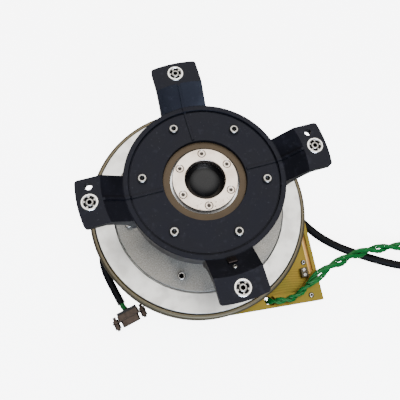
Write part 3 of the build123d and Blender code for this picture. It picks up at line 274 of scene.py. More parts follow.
# %% Turned steel
def turned_steel(name, colour, roughness, ring_pitch=0.35, stain=(205, 198, 188), stain_share=0.35):
    finish = Finish(name, colour, roughness, 1.0)
    rings = finish.rings(1.0 / ring_pitch, 2.0)
    cloud = finish.spread(finish.noise(11.0, 6.0), 0.42, 0.66)
    tinted = finish.mix(cloud * stain_share, colour, shade(*stain))
    darker = finish.mix(rings * 0.28, tinted, shade(112, 110, 106))
    finish.set("Base Color", darker)
    finish.set("Roughness", roughness + 0.10 * (rings - 0.5) + 0.06 * cloud)
    finish.bump(rings, 0.012)
    return finish.material


# %% [markdown]
# The ring round the cap has been handled: it carries a few rusty specks and short scratches. They are spots of
# noise held to a small part of the ring, laid over the same turned steel. Its stepped flank is painted nearly
# black as painted shade, and the same finish paints shade into the sockets and gaps of the screws that use it.

# %% Stainless ring with wear and painted shade
SPECKS_FROM_TO_Y = (-14.0, -17.0)
RING_FLANK_R = 23.3  # beyond this radius the ring's stepped flank lies in shadow


def worn_stainless():
    finish = Finish("worn_stainless", shade(214, 200, 188), 0.30, 1.0)
    rings = finish.rings(4.0, 2.0)
    cloud = finish.spread(finish.noise(9.0, 4.0), 0.35, 0.7)
    plain = finish.mix(cloud, shade(222, 209, 197), shade(196, 180, 166))
    low_side = finish.spread(finish.part("Y"), *SPECKS_FROM_TO_Y)
    specks = finish.spread(finish.noise(1.1, 6.0), 0.60, 0.68) * low_side
    scuffs = finish.spread(finish.noise(3.4, 6.0), 0.60, 0.70)
    marked = finish.mix(scuffs * 0.25, plain, shade(176, 166, 152))
    marked = finish.mix(specks * 0.85, marked, shade(92, 70, 48))
    # painted shade: the ring's stepped flank, beyond RING_FLANK_R, is painted nearly black for the shadow it
    # lies in
    painted_flank_shade = finish.reach() > RING_FLANK_R
    marked = finish.mix(painted_flank_shade * 0.9, marked, shade(16, 15, 16))
    # painted shade: sockets and the gap round the sunk screw heads are painted nearly black
    finish.set("Base Color", finish.mix(finish.sunk() * 0.95, marked, shade(16, 15, 16)))
    finish.set("Roughness", 0.24 + 0.12 * rings + 0.25 * specks)
    finish.bump(rings - specks, 0.01)
    return finish.material


# %% [markdown]
# ### Dull zinc, satin black and the brown shield
# The drive plate has a dull, speckled zinc coat. The spider is hard anodised nearly black: it is not a
# metal to look at, because the dyed layer hides it, so Metallic stays at 0 and a fine grain in the bump
# breaks up the shine. The shield ring is burnished brown, with faint turning rings left in it.

# %% Zinc plate
def dull_zinc():
    finish = Finish("dull_zinc", shade(104, 108, 110), 0.46, 0.9)
    speckle = finish.noise(0.8, 6.0)
    cloud = finish.spread(finish.noise(21.0, 3.0), 0.35, 0.65)
    base = finish.mix(cloud, shade(154, 149, 140), shade(132, 131, 127))
    light = finish.spread(speckle, 0.54, 0.64)
    dark = finish.spread(speckle, 0.44, 0.36)
    base = finish.mix(light * 0.6, base, shade(198, 195, 188))
    base = finish.mix(dark * 0.6, base, shade(92, 91, 90))
    base = finish.mix(finish.spots(17.0, 0.42) * 0.7, base, shade(36, 36, 38))
    finish.set("Base Color", base)
    finish.set("Roughness", 0.40 + 0.2 * speckle)
    finish.bump(speckle, 0.02)
    return finish.material


# %% Satin black anodising
def satin_black():
    finish = Finish("satin_black", shade(12, 12, 16), 0.42, 0.0, Specular_IOR_Level=0.15,
                    Specular_Tint=(0.84, 0.86, 1.0, 1.0))
    grain = finish.noise(0.45, 4.0)
    cloud = finish.spread(finish.noise(19.0, 4.0), 0.35, 0.7)
    rings = finish.rings(1.4, 3.0)
    dust = finish.spread(finish.noise(1.3, 8.0), 0.66, 0.76)
    base = finish.mix(cloud, shade(7, 7, 11), shade(14, 14, 20))
    base = finish.mix(rings * 0.35, base, shade(25, 25, 31))
    scrape = finish.spread(finish.noise(5.0, 9.0), 0.58, 0.70)
    base = finish.mix(scrape * 0.3, base, shade(38, 38, 46))
    finish.set("Base Color", finish.mix(dust * 0.4, base, shade(80, 80, 86)))
    finish.set("Roughness", 0.36 + 0.10 * cloud + 0.12 * grain)
    finish.bump(grain * 0.7 + rings * 0.3, 0.02)
    return finish.material


# %% Burnished brown
def burnished_brown():
    finish = Finish("burnished_brown", shade(70, 56, 36), 0.42, 0.55)
    rings = finish.rings(2.2, 3.0)
    cloud = finish.noise(8.0, 4.0)
    base = finish.mix(rings, shade(52, 40, 24), shade(72, 56, 34))
    finish.set("Base Color", finish.mix(cloud * 0.3, base, shade(52, 44, 34)))
    finish.set("Roughness", 0.34 + 0.16 * cloud)
    finish.bump(rings, 0.012)
    return finish.material


# %% [markdown]
# ### Plated parts, plastics and wire
# The small parts need finishes that hold up close: bright plating with faint mottling, black oxide,
# moulded plastics with the tiny pebble of a tool steel mould, a soft rubber jacket and glossy wire.
# They differ only in colour, roughness and how strong their grain is, so two functions make them all.

# %% Plated metals
def plated(name, colour, roughness, tint, grain_size=0.7):
    finish = Finish(name, colour, roughness, 1.0)
    cloud = finish.noise(3.1, 3.0)
    grain = finish.noise(grain_size, 4.0)
    base = finish.mix(finish.spread(cloud, 0.4, 0.7) * 0.5, colour, tint)
    pits = finish.spread(finish.noise(0.5, 6.0), 0.64, 0.72)
    base = finish.mix(pits * 0.45, base, shade(84, 80, 76))
    # painted shade: the points marked sunk, in sockets and round sunk heads, are painted nearly black
    finish.set("Base Color", finish.mix(finish.sunk() * 0.95, base, shade(14, 13, 14)))
    finish.set("Roughness", roughness + 0.12 * grain)
    finish.bump(grain, 0.006)
    return finish.material


# %% Plastics and rubber
def moulded(name, colour, roughness, dust, grain_size=0.25, grain_depth=0.012, **fixed):
    finish = Finish(name, colour, roughness, 0.0, **fixed)
    cloud = finish.spread(finish.noise(7.0, 4.0), 0.35, 0.7)
    grain = finish.noise(grain_size, 2.0)
    film = finish.spread(finish.noise(1.7, 7.0), 0.60, 0.74)
    base = finish.mix(cloud * 0.35, colour, dust)
    finish.set("Base Color", finish.mix(film * 0.18, base, dust))
    finish.set("Roughness", roughness + 0.10 * cloud + 0.06 * grain)
    finish.bump(grain, grain_depth)
    return finish.material


# %% Every finish, by the name of the record's slot
finishes = {
    "gold_chromate": gold_chromate(),
    "rotor_face": turned_steel("rotor_face", shade(230, 229, 225), 0.36, 0.30, (196, 192, 186), 0.5),
    "sleeve_steel": turned_steel("sleeve_steel", shade(176, 174, 170), 0.30, 0.5),
    "grey_zinc": dull_zinc(),
    "spider_black": satin_black(),
    "shield_brown": burnished_brown(),
    "stainless": worn_stainless(),
    "cap_black": moulded("cap_black", shade(5, 5, 7), 0.12, shade(12, 12, 14), 0.8, 0.001,
                         Specular_IOR_Level=0.26),
    "black_oxide": plated("black_oxide", shade(58, 57, 60), 0.32, shade(40, 38, 38)),
    "plated_screw": plated("plated_screw", shade(176, 173, 168), 0.20, shade(104, 100, 95), 0.5),
    "eyelet_silver": plated("eyelet_silver", shade(238, 236, 232), 0.16, shade(214, 211, 205)),
    "bearing_steel": plated("bearing_steel", shade(206, 206, 206), 0.12, shade(188, 190, 194)),
    "cage_brass": turned_steel("cage_brass", shade(190, 150, 84), 0.30, 0.6, (160, 122, 62)),
    "spring_steel": plated("spring_steel", shade(96, 98, 112), 0.28, shade(74, 80, 104)),
    "armature_steel": turned_steel("armature_steel", shade(148, 145, 140), 0.34, 0.4, (120, 110, 98)),
    "bobbin_white": moulded("bobbin_white", shade(226, 222, 208), 0.48, shade(196, 190, 172)),
    "copper_wire": plated("copper_wire", shade(196, 112, 62), 0.26, shade(150, 78, 40)),
    "potting_resin": moulded("potting_resin", shade(38, 31, 24), 0.22, shade(62, 52, 42)),
    "sensor_body": moulded("sensor_body", shade(16, 16, 17), 0.46, shade(36, 36, 37), Specular_IOR_Level=0.25),
    "cable_black": moulded("cable_black", shade(4, 4, 5), 0.46, shade(13, 13, 15), 0.35, 0.02,
                           Specular_IOR_Level=0.12),
    "wire_green": moulded("wire_green", shade(4, 92, 34), 0.38, shade(40, 128, 62), 0.5, 0.006,
                          Specular_IOR_Level=0.3),
    "dsub_steel": plated("dsub_steel", shade(62, 54, 49), 0.30, shade(42, 36, 33)),
    "dsub_plastic": moulded("dsub_plastic", shade(12, 12, 14), 0.42, shade(30, 30, 32),
                            Specular_IOR_Level=0.25),
    "pin_gold": plated("pin_gold", shade(222, 178, 92), 0.18, shade(198, 148, 66)),
    "connector_black": moulded("connector_black", shade(16, 16, 18), 0.44, shade(36, 36, 39)),
    "terminal_plastic": moulded("terminal_plastic", shade(74, 60, 26), 0.42, shade(58, 50, 26)),
    "grommet_rubber": moulded("grommet_rubber", shade(14, 14, 15), 0.6, shade(30, 30, 31)),
    "index_steel": plated("index_steel", shade(52, 46, 46), 0.34, shade(38, 34, 35)),
}
slot_of = {part["node"]: part["material_slot"] for part in frame["record"]["subparts"]}
for node, obj in nodes.items():
    obj.data.materials.clear()
    obj.data.materials.append(finishes[slot_of[node]])
print("the finishes are", ", ".join(sorted(finishes)))

# %% [markdown]
# ## Helpers for new pieces
# A new piece starts as a bmesh in millimetres. One function scales it, gives it its finish, rounds its
# shading except at real corners, and lets it ride on the right body of the clutch.
# Places are never typed in twice: `solids_in` reads them from the CAD node that the piece stands for.

# %% Make a piece, and read where a CAD node's solids are
SHARP = radians(38)


def link(obj):
    bpy.context.scene.collection.objects.link(obj)
    return obj


def piece_from(shape, name, body, slot, stands_for=()):
    """A finished object from a bmesh in millimetres."""
    bmesh.ops.scale(shape, vec=(MM, MM, MM), verts=shape.verts)
    mesh = bpy.data.meshes.new(name)
    shape.to_mesh(mesh)
    shape.free()
    mesh.polygons.foreach_set("use_smooth", [True] * len(mesh.polygons))
    mesh.set_sharp_from_angle(angle=SHARP)
    mesh.materials.append(finishes[slot])
    piece = link(bpy.data.objects.new(name, mesh))
    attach(piece, body)
    if stands_for:
        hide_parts(*stands_for)
    print(name, "has", len(mesh.polygons), "faces")
    return piece


def solids_in(node):
    """The lowest and highest corner of each separate solid of a CAD node, in millimetres, by angle."""
    merged = bmesh.new()
    merged.from_mesh(nodes[node].data)
    bmesh.ops.remove_doubles(merged, verts=merged.verts, dist=1e-6)
    left = set(merged.verts)
    boxes = []
    while left:
        grown = [left.pop()]
        found = []
        while grown:
            vertex = grown.pop()
            found.append(vertex.co / MM)
            near = {edge.other_vert(vertex) for edge in vertex.link_edges} & left
            left -= near
            grown.extend(near)
        low = Vector([min(point[axis] for point in found) for axis in range(3)])
        high = Vector([max(point[axis] for point in found) for axis in range(3)])
        boxes.append((low, high))
    merged.free()
    return sorted(boxes, key=lambda box: atan2(box[0].y + box[1].y, box[0].x + box[1].x))


def copies(master, places):
    """One bmesh that holds the master shape at each of the given matrices."""
    together = bmesh.new()
    for place in places:
        moved = master.copy()
        bmesh.ops.transform(moved, matrix=place, verts=moved.verts)
        passing = bpy.data.meshes.new("passing")
        moved.to_mesh(passing)
        moved.free()
        together.from_mesh(passing)
        bpy.data.meshes.remove(passing)
    master.free()
    return together


def turned(outline, steps=96, soften=0.0, closed=True):
    """An outline of radius and height pairs, turned about the vertical axis."""
    shape = bmesh.new()
    corners = [shape.verts.new((radius, 0.0, height)) for radius, height in outline]
    for first, second in zip(corners, corners[1:] + corners[:1] if closed else corners[1:]):
        shape.edges.new((first, second))
    bmesh.ops.spin(shape, geom=shape.verts[:] + shape.edges[:], axis=(0, 0, 1), cent=(0, 0, 0),
                   angle=2 * pi, steps=steps, use_merge=True)
    bmesh.ops.remove_doubles(shape, verts=shape.verts, dist=1e-4)
    bmesh.ops.recalc_face_normals(shape, faces=shape.faces)
    if soften:
        sharp = [edge for edge in shape.edges if edge.is_manifold and edge.calc_face_angle() > SHARP]
        bmesh.ops.bevel(shape, geom=sharp, offset=soften, affect="EDGES", segments=2, profile=0.5, material=-1)
    return shape


# %% [markdown]
# ## Cables first
# A cable is a length of something bendy, so its line comes before its skin. The route is a NURBS curve
# through the same route points as the CAD tube, and the part that nobody needs lies in a neat coil beside
# the clutch, out of the picture. A coil's control points sit just outside its circle, where the segments
# between them touch the circle, so the curve comes out round.

# %% Route points and coils
PER_TURN = 16


def eased(share):
    """0 before 0, 1 after 1, and a smooth climb between."""
    held = min(max(share, 0.0), 1.0)
    return held * held * (3 - 2 * held)


def coil_points(centre, mean_r, diameter, start, way, swept_to):
    """Two flat turns side by side, the outer one first, and a rise onto the top of them."""
    points = []
    for step in range(int(swept_to * PER_TURN / 360)):
        swept = (step + 0.5) * 360 / PER_TURN
        inward = eased((swept - 268) / 76)
        rise = eased((swept - 545) / 95)
        radius = (mean_r + diameter * (0.5 - inward + 0.5 * rise)) / cos(pi / PER_TURN)
        angle = radians(start + way * swept)
        height = diameter * (0.505 + 1.0 * rise)
        points.append((centre[0] + radius * cos(angle), centre[1] + radius * sin(angle), height))
    return points


def cord_line(name, route):
    """A smooth NURBS curve along route points in millimetres."""
    data = bpy.data.curves.new(name, "CURVE")
    data.dimensions = "3D"
    data.resolution_u = 10
    spline = data.splines.new("NURBS")
    spline.points.add(len(route) - 1)
    for point, place in zip(spline.points, route):
        point.co = (*(Vector(place) * MM), 1.0)
    spline.order_u = 3
    spline.use_endpoint_u = True
    return link(bpy.data.objects.new(name, data))


def points_along(line, spacing=0.0):
    """The points of a curve with no skin, in millimetres, evenly spaced if a spacing is given."""
    bpy.context.view_layer.update()
    mesh = bpy.data.meshes.new_from_object(line)
    points = [vertex.co / MM for vertex in mesh.vertices]
    bpy.data.meshes.remove(mesh)
    if not spacing:
        return points
    spaced = [points[0]]
    walked = 0.0
    for first, second in zip(points, points[1:]):
        run = (second - first).length
        while walked + run >= spacing * len(spaced):
            spaced.append(first.lerp(second, (spacing * len(spaced) - walked) / run))
        walked += run
    spaced.append(points[-1])
    return spaced


def length_of(points):
    return sum((second - first).length for first, second in zip(points, points[1:]))


# %% [markdown]
# ### The black supply cable
# It leaves its outlet block under the rim, drops to the table and runs off to the right. The jacket is a
# plain round skin, so a bevel on the curve itself is the right way to make it.

# %% Supply cable
POWER_D = 7.6
POWER_COIL_AT = (242.0, -124.0)
POWER_COIL_R = 41.0
POWER_ROUTE = [
    (92.2, -8.8, 9.0), (100.6, -19.0, 6.0), (112.5, -33.5, 4.2), (129.5, -47.2, 3.9), (149.0, -58.0, 3.9),
    (168.0, -67.3, 3.9), (187.0, -75.0, 3.9), (206.0, -78.6, 3.9), (225.0, -79.2, 3.9),
]
plug_low, plug_high = (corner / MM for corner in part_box("power_connector"))
plug_y = (plug_low.y + plug_high.y) / 2
plug_z = (plug_low.z + plug_high.z) / 2


def jacket(line, diameter):
    line.data.bevel_depth = diameter / 2 * MM
    line.data.bevel_resolution = 6
    line.data.use_fill_caps = True


power_route = POWER_ROUTE + coil_points(POWER_COIL_AT, POWER_COIL_R, POWER_D, 90, -1, 665)
power_route += [(plug_low.x - 13.0, plug_y - 1.2, plug_z - 0.6), (plug_low.x - 4.0, plug_y, plug_z),
                (plug_low.x + 3.0, plug_y, plug_z)]
power_line = cord_line("supply_cable", power_route)
power_path = points_along(power_line)
jacket(power_line, POWER_D)
power_line.data.materials.append(finishes["cable_black"])
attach(power_line, "field")
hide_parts("power_cable", "power_coil")
print("the supply cable is", round(length_of(power_path)), "mm long")

# %% [markdown]
# ### The sensor's short cable
# The speed sensor's cable is only a hand's breadth long: it runs along the rim on the table and ends in a
# nine-way connector, which its green inner wires join over the last few millimetres.

# %% Sensor cable
SENSOR_D = 6.6
SENSOR_ROUTE = [
    (-90.0, -17.0, 10.0), (-91.0, -26.0, 8.4), (-90.3, -35.5, 5.6), (-87.3, -45.4, 3.9),
    (-83.2, -56.0, 3.4), (-79.0, -67.0, 3.5),
]
sensor_line = cord_line("sensor_lead", SENSOR_ROUTE)
sensor_path = points_along(sensor_line)
jacket(sensor_line, SENSOR_D)
sensor_line.data.materials.append(finishes["cable_black"])
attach(sensor_line, "field")
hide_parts("sensor_cable")
print("the sensor cable is", round(length_of(sensor_path)), "mm long")

# %% [markdown]
# ### Green twisted leads
# Single insulated wires are twisted together, and where two bunches meet they are twisted again. A helix
# that turns round another helix is easy once the route has a frame of its own: two directions square to
# it, carried along without spinning. Each wire is a thin skinned line, and all of them join in one mesh.

# %% Twist wires round a path
WIRE_D = 1.45
WIRE_STEP = 1.8


def carried_frames(path):
    """Two directions square to the path at each of its points, carried along without a twist."""
    frames = []
    side = Vector((0, 0, 1))
    for index, point in enumerate(path):
        ahead = path[min(index + 1, len(path) - 1)] - path[max(index - 1, 0)]
        ahead.normalize()
        side = (side - ahead * side.dot(ahead)).normalized()
        frames.append((side.copy(), ahead.cross(side)))
    return frames


def twisted_wires(path, bunches, wires, bunch_r, wire_r, lay, wire_lay, diameter):
    """Skinned wires twisted in bunches that are twisted round the path; lengths in millimetres."""
    frames = carried_frames(path)
    together = bmesh.new()
    for bunch in range(bunches):
        for wire in range(wires):
            data = bpy.data.curves.new("wire", "CURVE")
            data.dimensions = "3D"
            data.bevel_depth = diameter / 2
            data.bevel_resolution = 2
            data.use_fill_caps = True
            spline = data.splines.new("POLY")
            spline.points.add(len(path) - 1)
            for index, (point, (side, over)) in enumerate(zip(path, frames)):
                run = index * WIRE_STEP
                round_path = 2 * pi * (run / lay + bunch / bunches)
                round_bunch = 2 * pi * (run / wire_lay + wire / wires)
                place = point + bunch_r * (cos(round_path) * side + sin(round_path) * over)
                place += wire_r * (cos(round_bunch) * side + sin(round_bunch) * over)
                place.z = max(place.z, diameter / 2)
                spline.points[index].co = (*place, 1.0)
            line = link(bpy.data.objects.new("wire", data))
            bpy.context.view_layer.update()
            skin = bpy.data.meshes.new_from_object(line)
            together.from_mesh(skin)
            bpy.data.objects.remove(line)
            bpy.data.meshes.remove(skin)
    return together


# %% The thin pair and the thick bundle
BUNDLE_D = 9.0
PAIR_ROUTE = [
    (46.2, -86.9, 24.5), (46.5, -87.0, 31.5), (51.5, -88.4, 37.4), (59.6, -89.6, 38.2),
    (68.2, -88.2, 37.2), (75.4, -84.2, 37.2), (82.0, -79.8, 38.4),
]
BUNDLE_COIL_AT = (278.0, -6.0)
BUNDLE_COIL_R = 48.0
BUNDLE_ROUTE = [
    (82.0, -79.8, 38.4), (91.2, -73.8, 39.6), (102.2, -68.6, 38.2), (115.0, -64.8, 33.6),
    (130.5, -60.6, 26.0), (148.0, -57.4, 18.6), (166.0, -56.0, 11.4), (187.0, -56.2, 5.8),
    (211.0, -57.2, 4.6), (235.0, -58.4, 4.6), (257.0, -58.5, 4.6),
]
head_low, head_high = (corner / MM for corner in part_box("lead_connector"))
head_y = (head_low.y + head_high.y) / 2
head_z = (head_low.z + head_high.z) / 2

bundle_route = BUNDLE_ROUTE + coil_points(BUNDLE_COIL_AT, BUNDLE_COIL_R, BUNDLE_D, -90, 1, 665)
bundle_route += [(head_low.x - 14.0, head_y + 0.8, head_z), (head_low.x - 5.0, head_y, head_z),
                 (head_low.x + 2.0, head_y, head_z)]


def twisted_lead(name, route, twist, stands_for):
    """The path of a twisted lead and its finished mesh."""
    line = cord_line(name + "_line", route)
    path = points_along(line, WIRE_STEP)
    bpy.data.objects.remove(line)
    lead = piece_from(twisted_wires(path, *twist), name, "field", "wire_green", stands_for)
    print(name, "is", round(length_of(path)), "mm long")
    return path, lead


PAIR_TWIST = (2, 3, 1.5, 0.84, 22.0, 13.0, WIRE_D)  # bunches, wires, both radii, both lays, wire
BUNDLE_TWIST = (2, 5, 2.3, 1.42, 52.0, 38.0, WIRE_D * 1.05)
pair_path, pair = twisted_lead("coil_leads", PAIR_ROUTE, PAIR_TWIST, ["lead_pair"])
bundle_path, bundle = twisted_lead("lead_rope", bundle_route, BUNDLE_TWIST, ["lead_bundle", "lead_coil"])


# %% [markdown]
# ## Screws
# A socket head is a disc with a six-sided hole, and both can grow from one flat ring of faces: a circle
# and a hexagon with the same number of points are bridged, then each loop of edges is pulled away, the
# hexagon down into the hole and the circle down the outside. Pulling a loop through several radius and
# height steps rounds the rim, and moving every second point of the side inwards a little cuts the flutes
# that a hand grips. The points inside the hole carry a number named "sunk", which the finish reads to
# darken the socket, where little light gets in.

# %% Pull a loop of edges
HEAD_STEPS = 48


def pull(shape, loop, widen, down):
    """Extrudes a loop of edges, makes it wider or narrower and moves it down; returns the new loop."""
    grown = bmesh.ops.extrude_edge_only(shape, edges=loop)["geom"]
    points = {part for part in grown if isinstance(part, bmesh.types.BMVert)}
    bmesh.ops.scale(shape, vec=(widen, widen, 1), verts=list(points))
    bmesh.ops.translate(shape, vec=(0, 0, -down), verts=list(points))
    return [part for part in grown if isinstance(part, bmesh.types.BMEdge) and set(part.verts) <= points]


def pull_through(shape, loop, outline):
    """Pulls a loop through radius and height pairs, the first of which is where it already is."""
    for (old_r, old_z), (new_r, new_z) in zip(outline, outline[1:]):
        loop = pull(shape, loop, new_r / old_r, old_z - new_z)
    return loop


def flute(shape, low, high, depth):
    """Moves every second point of the side between two heights inwards."""
    for point in shape.verts:
        if low < point.co.z < high:
            turn = round(atan2(point.co.y, point.co.x) / (2 * pi) * HEAD_STEPS)
            if turn % 2 and hypot(point.co.x, point.co.y) > depth * 4:
                point.co.xy *= 1 - depth / hypot(point.co.x, point.co.y)


# %% A socket screw
def socket_screw(head_r, head_high, socket_r, rounding, shank_r, length, thread_pitch=0.0, flutes=0.0):
    """A socket screw, the seat of its head at the origin and its shank pointing down."""
    shape = bmesh.new()
    rim = bmesh.ops.create_circle(shape, radius=head_r - rounding, segments=HEAD_STEPS)["verts"]
    rim_loop = list({edge for point in rim for edge in point.link_edges})
    hexagon = bmesh.ops.create_circle(shape, radius=socket_r * 1.12, segments=6)["verts"]
    sides = list({edge for point in hexagon for edge in point.link_edges})
    bmesh.ops.subdivide_edges(shape, edges=sides, cuts=HEAD_STEPS // 6 - 1)
    hole_loop = [edge for edge in shape.edges if edge not in set(rim_loop)]
    bmesh.ops.bridge_loops(shape, edges=rim_loop + hole_loop)
    bmesh.ops.translate(shape, vec=(0, 0, head_high), verts=shape.verts)
    mouth = pull(shape, hole_loop, 1 / 1.12, 0.1)
    foot = pull(shape, mouth, 0.96, head_high * 0.5)
    tip = pull(shape, foot, 0.12, min(socket_r, head_high * 0.4))
    bmesh.ops.edgeloop_fill(shape, edges=tip)
    # the socket's points are marked so that the finish paints shade into them
    sunk = shape.verts.layers.float.new("sunk")
    for edge in mouth + foot + tip:
        for point in edge.verts:
            point[sunk] = 1.0
    outside = [(head_r - rounding, head_high)]
    for turn in (22.5, 45, 67.5, 90):
        lean = radians(turn)
        outside.append((head_r - rounding * (1 - sin(lean)), head_high - rounding * (1 - cos(lean))))
    outside += [(head_r, head_high * 0.08), (head_r * 0.97, 0.0), (shank_r, 0.0)]
    deep = 0.4
    while thread_pitch and deep < length - thread_pitch:
        outside += [(shank_r, -deep), (shank_r * 0.84, -deep - thread_pitch * 0.5)]
        deep += thread_pitch
    outside += [(shank_r, -length + 0.3), (shank_r * 0.8, -length)]
    end = pull_through(shape, rim_loop, outside)
    bmesh.ops.edgeloop_fill(shape, edges=end)
    if flutes:
        flute(shape, head_high * 0.05, head_high - rounding * 0.8, flutes)
    bmesh.ops.recalc_face_normals(shape, faces=shape.faces)
    return shape


def screws_at(name, body, slot, node, master, seat):
    """Copies of a screw where the CAD node's screws are, each turned its own way."""
    places = []
    for index, (low, high) in enumerate(solids_in(node)):
        middle = (low + high) / 2
        spot = Matrix.Translation((middle.x, middle.y, high.z - seat))
        places.append(spot @ Matrix.Rotation(radians(37 * index + 11), 4, "Z"))
    return piece_from(copies(master, places), name, body, slot, [node])


screws_at("spider_cap_screws", "output", "plated_screw", "spider_screws",
          socket_screw(3.45, 2.4, 1.95, 1.1, 1.95, 6.0, flutes=0.12), 2.4)
screws_at("spring_cap_screws", "output", "plated_screw", "spring_screws",
          socket_screw(3.4, 3.6, 2.0, 0.8, 1.95, 4.0, flutes=0.10), 3.6)
screws_at("arm_cap_screws", "output", "plated_screw", "arm_screws",
          socket_screw(2.9, 3.1, 1.65, 0.95, 1.5, 12.0, thread_pitch=0.7, flutes=0.12), 3.1)
screws_at("base_button_screws", "field", "plated_screw", "base_screws",
          socket_screw(2.25, 1.6, 1.0, 1.1, 1.2, 3.0), 1.6)

# %% [markdown]
# The ring's screws are sunk flush, so their heads are cones rather than cylinders. The same pulling works with
# a different outline, and a narrow ring round each head is dropped a little and painted dark as painted shade
# in the gap, which is what the eye reads as a screw.

# %% Countersunk screws and slotted screws
def sunk_screw(head_r, socket_r, shank_r, length):
    shape = socket_screw(head_r, 0.3, socket_r, 0.2, shank_r, length)
    sunk = shape.verts.layers.float["sunk"]
    # painted shade: the outer ring of the head is dropped a little and marked, so the finish paints it dark as
    # the gap's shade
    for point in shape.verts:
        out = hypot(point.co.x, point.co.y)
        if point.co.z < 0.28 and out > head_r * 0.75:
            point.co.z = -0.05
            point[sunk] = 1.0
    bmesh.ops.translate(shape, vec=(0, 0, -0.3), verts=shape.verts)
    return shape


def slotted_screw(head_r, head_high, slot):
    """A cheese head with a slot that stops short of its rim."""
    shape = bmesh.new()
    bmesh.ops.create_cone(shape, cap_ends=True, segments=32, radius1=head_r, radius2=head_r, depth=head_high)
    bmesh.ops.translate(shape, vec=(0, 0, -head_high / 2), verts=shape.verts)
    top = [edge for edge in shape.edges if all(point.co.z > -0.01 for point in edge.verts)]
    bmesh.ops.bevel(shape, geom=top, offset=0.25, affect="EDGES", segments=3, profile=0.5, material=-1)
    for side in (-1, 1):
        cut = shape.verts[:] + shape.edges[:] + shape.faces[:]
        bmesh.ops.bisect_plane(shape, geom=cut, plane_co=(side * slot / 2, 0, 0), plane_no=(1, 0, 0))
    strip = [face for face in shape.faces
             if face.normal.z > 0.9 and abs(face.calc_center_median().x) < slot / 2]
    grown = bmesh.ops.extrude_face_region(shape, geom=strip)["geom"]
    points = [part for part in grown if isinstance(part, bmesh.types.BMVert)]
    bmesh.ops.translate(shape, vec=(0, 0, -head_high * 0.45), verts=points)
    bmesh.ops.delete(shape, geom=strip, context="FACES_ONLY")
    return shape


screws_at("ring_sunk_screws", "rotor", "stainless", "retainer_screws", sunk_screw(2.55, 1.35, 1.4, 5.0), 0.0)
screws_at("terminal_slot_screws", "field", "plated_screw", "terminal_screws",
          slotted_screw(1.55, 1.2, 0.45), 0.0)

# %% [markdown]
# ## Eyelets on the arms
# Each arm screw sits in a bright pressed ring, with the teeth of a lock washer reaching in under the head.
# The ring is a small turned shape. The washer starts as two circles of points: the inner one is drawn out
# where there is a gap and in where there is a tooth, then they are bridged and given a thickness.

# %% Pressed rings and lock washers
eyelet_boxes = solids_in("arm_eyelets")
EYELET_IN_R, EYELET_OUT_R = 4.35, 6.0
EYELET_TOP = eyelet_boxes[0][1].z
TEETH = 5


def pressed_ring():
    outline = [(EYELET_IN_R, -1.7), (EYELET_OUT_R, -1.7), (EYELET_OUT_R, -0.42), (EYELET_OUT_R - 0.35, -0.08),
               (EYELET_OUT_R - 0.8, 0.0), (EYELET_IN_R + 0.3, -0.06), (EYELET_IN_R, -0.4)]
    return turned(outline, 64)


def lock_washer():
    shape = bmesh.new()
    steps = TEETH * 12
    outer = bmesh.ops.create_circle(shape, radius=EYELET_IN_R + 0.1, segments=steps)["verts"]
    inner = bmesh.ops.create_circle(shape, radius=3.05, segments=steps)["verts"]
    for index, point in enumerate(inner):
        if index % 12 > 2:
            point.co.xy *= 4.2 / 3.05
    loops = list({edge for point in outer + inner for edge in point.link_edges})
    flat = bmesh.ops.bridge_loops(shape, edges=loops)["faces"]
    grown = bmesh.ops.extrude_face_region(shape, geom=flat)["geom"]
    points = [part for part in grown if isinstance(part, bmesh.types.BMVert)]
    bmesh.ops.translate(shape, vec=(0, 0, 0.45), verts=points)
    bmesh.ops.translate(shape, vec=(0, 0, -1.15), verts=shape.verts)
    bmesh.ops.recalc_face_normals(shape, faces=shape.faces)
    return shape


ring_places = [Matrix.Translation(((low.x + high.x) / 2, (low.y + high.y) / 2, EYELET_TOP))
               @ Matrix.Rotation(radians(29 * index), 4, "Z")
               for index, (low, high) in enumerate(eyelet_boxes)]
piece_from(copies(pressed_ring(), ring_places), "arm_rings", "output", "eyelet_silver", ["arm_eyelets"])
piece_from(copies(lock_washer(), ring_places), "arm_lock_washers", "output", "plated_screw")

# %% [markdown]
# ## The glossy cap
# The cap on the shaft is a polished shallow dome. Facets would show at once in its reflection, so its
# outline is a true arc, cut into short steps by a formula and turned in fine steps about the axis.

# %% Dome
cap_low, cap_high = (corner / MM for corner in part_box("dome_cap"))
CAP_R = 14.45
CAP_EDGE = 109.6
cap_rise = cap_high.z - CAP_EDGE - 0.02
dome_r = (CAP_R ** 2 + cap_rise ** 2) / (2 * cap_rise)
reach_angle = atan2(CAP_R, dome_r - cap_rise)
DOME_STEPS = 24
STEM_R = 13.7
dome = []
for step in range(DOME_STEPS + 1):
    turn = reach_angle * step / DOME_STEPS
    dome.append((dome_r * sin(turn), CAP_EDGE + cap_rise - dome_r * (1 - cos(turn))))
dome += [(CAP_R + 0.02, CAP_EDGE - 0.3), (CAP_R, CAP_EDGE - 0.7), (STEM_R, CAP_EDGE - 1.0),
         (STEM_R, cap_low.z + 0.1), (0.0, cap_low.z + 0.1)]
piece_from(turned(dome, 128), "cap_dome", "rotor", "cap_black", ["dome_cap"])

# %% [markdown]
# ## The index screw
# The fourth arm has a small block and a locking screw on its slope. The screw leans with the slope, so it
# is modelled upright, then tilted and moved to the middle of its CAD solid. The tilt is the turn that
# takes the vertical to the slope's own normal.

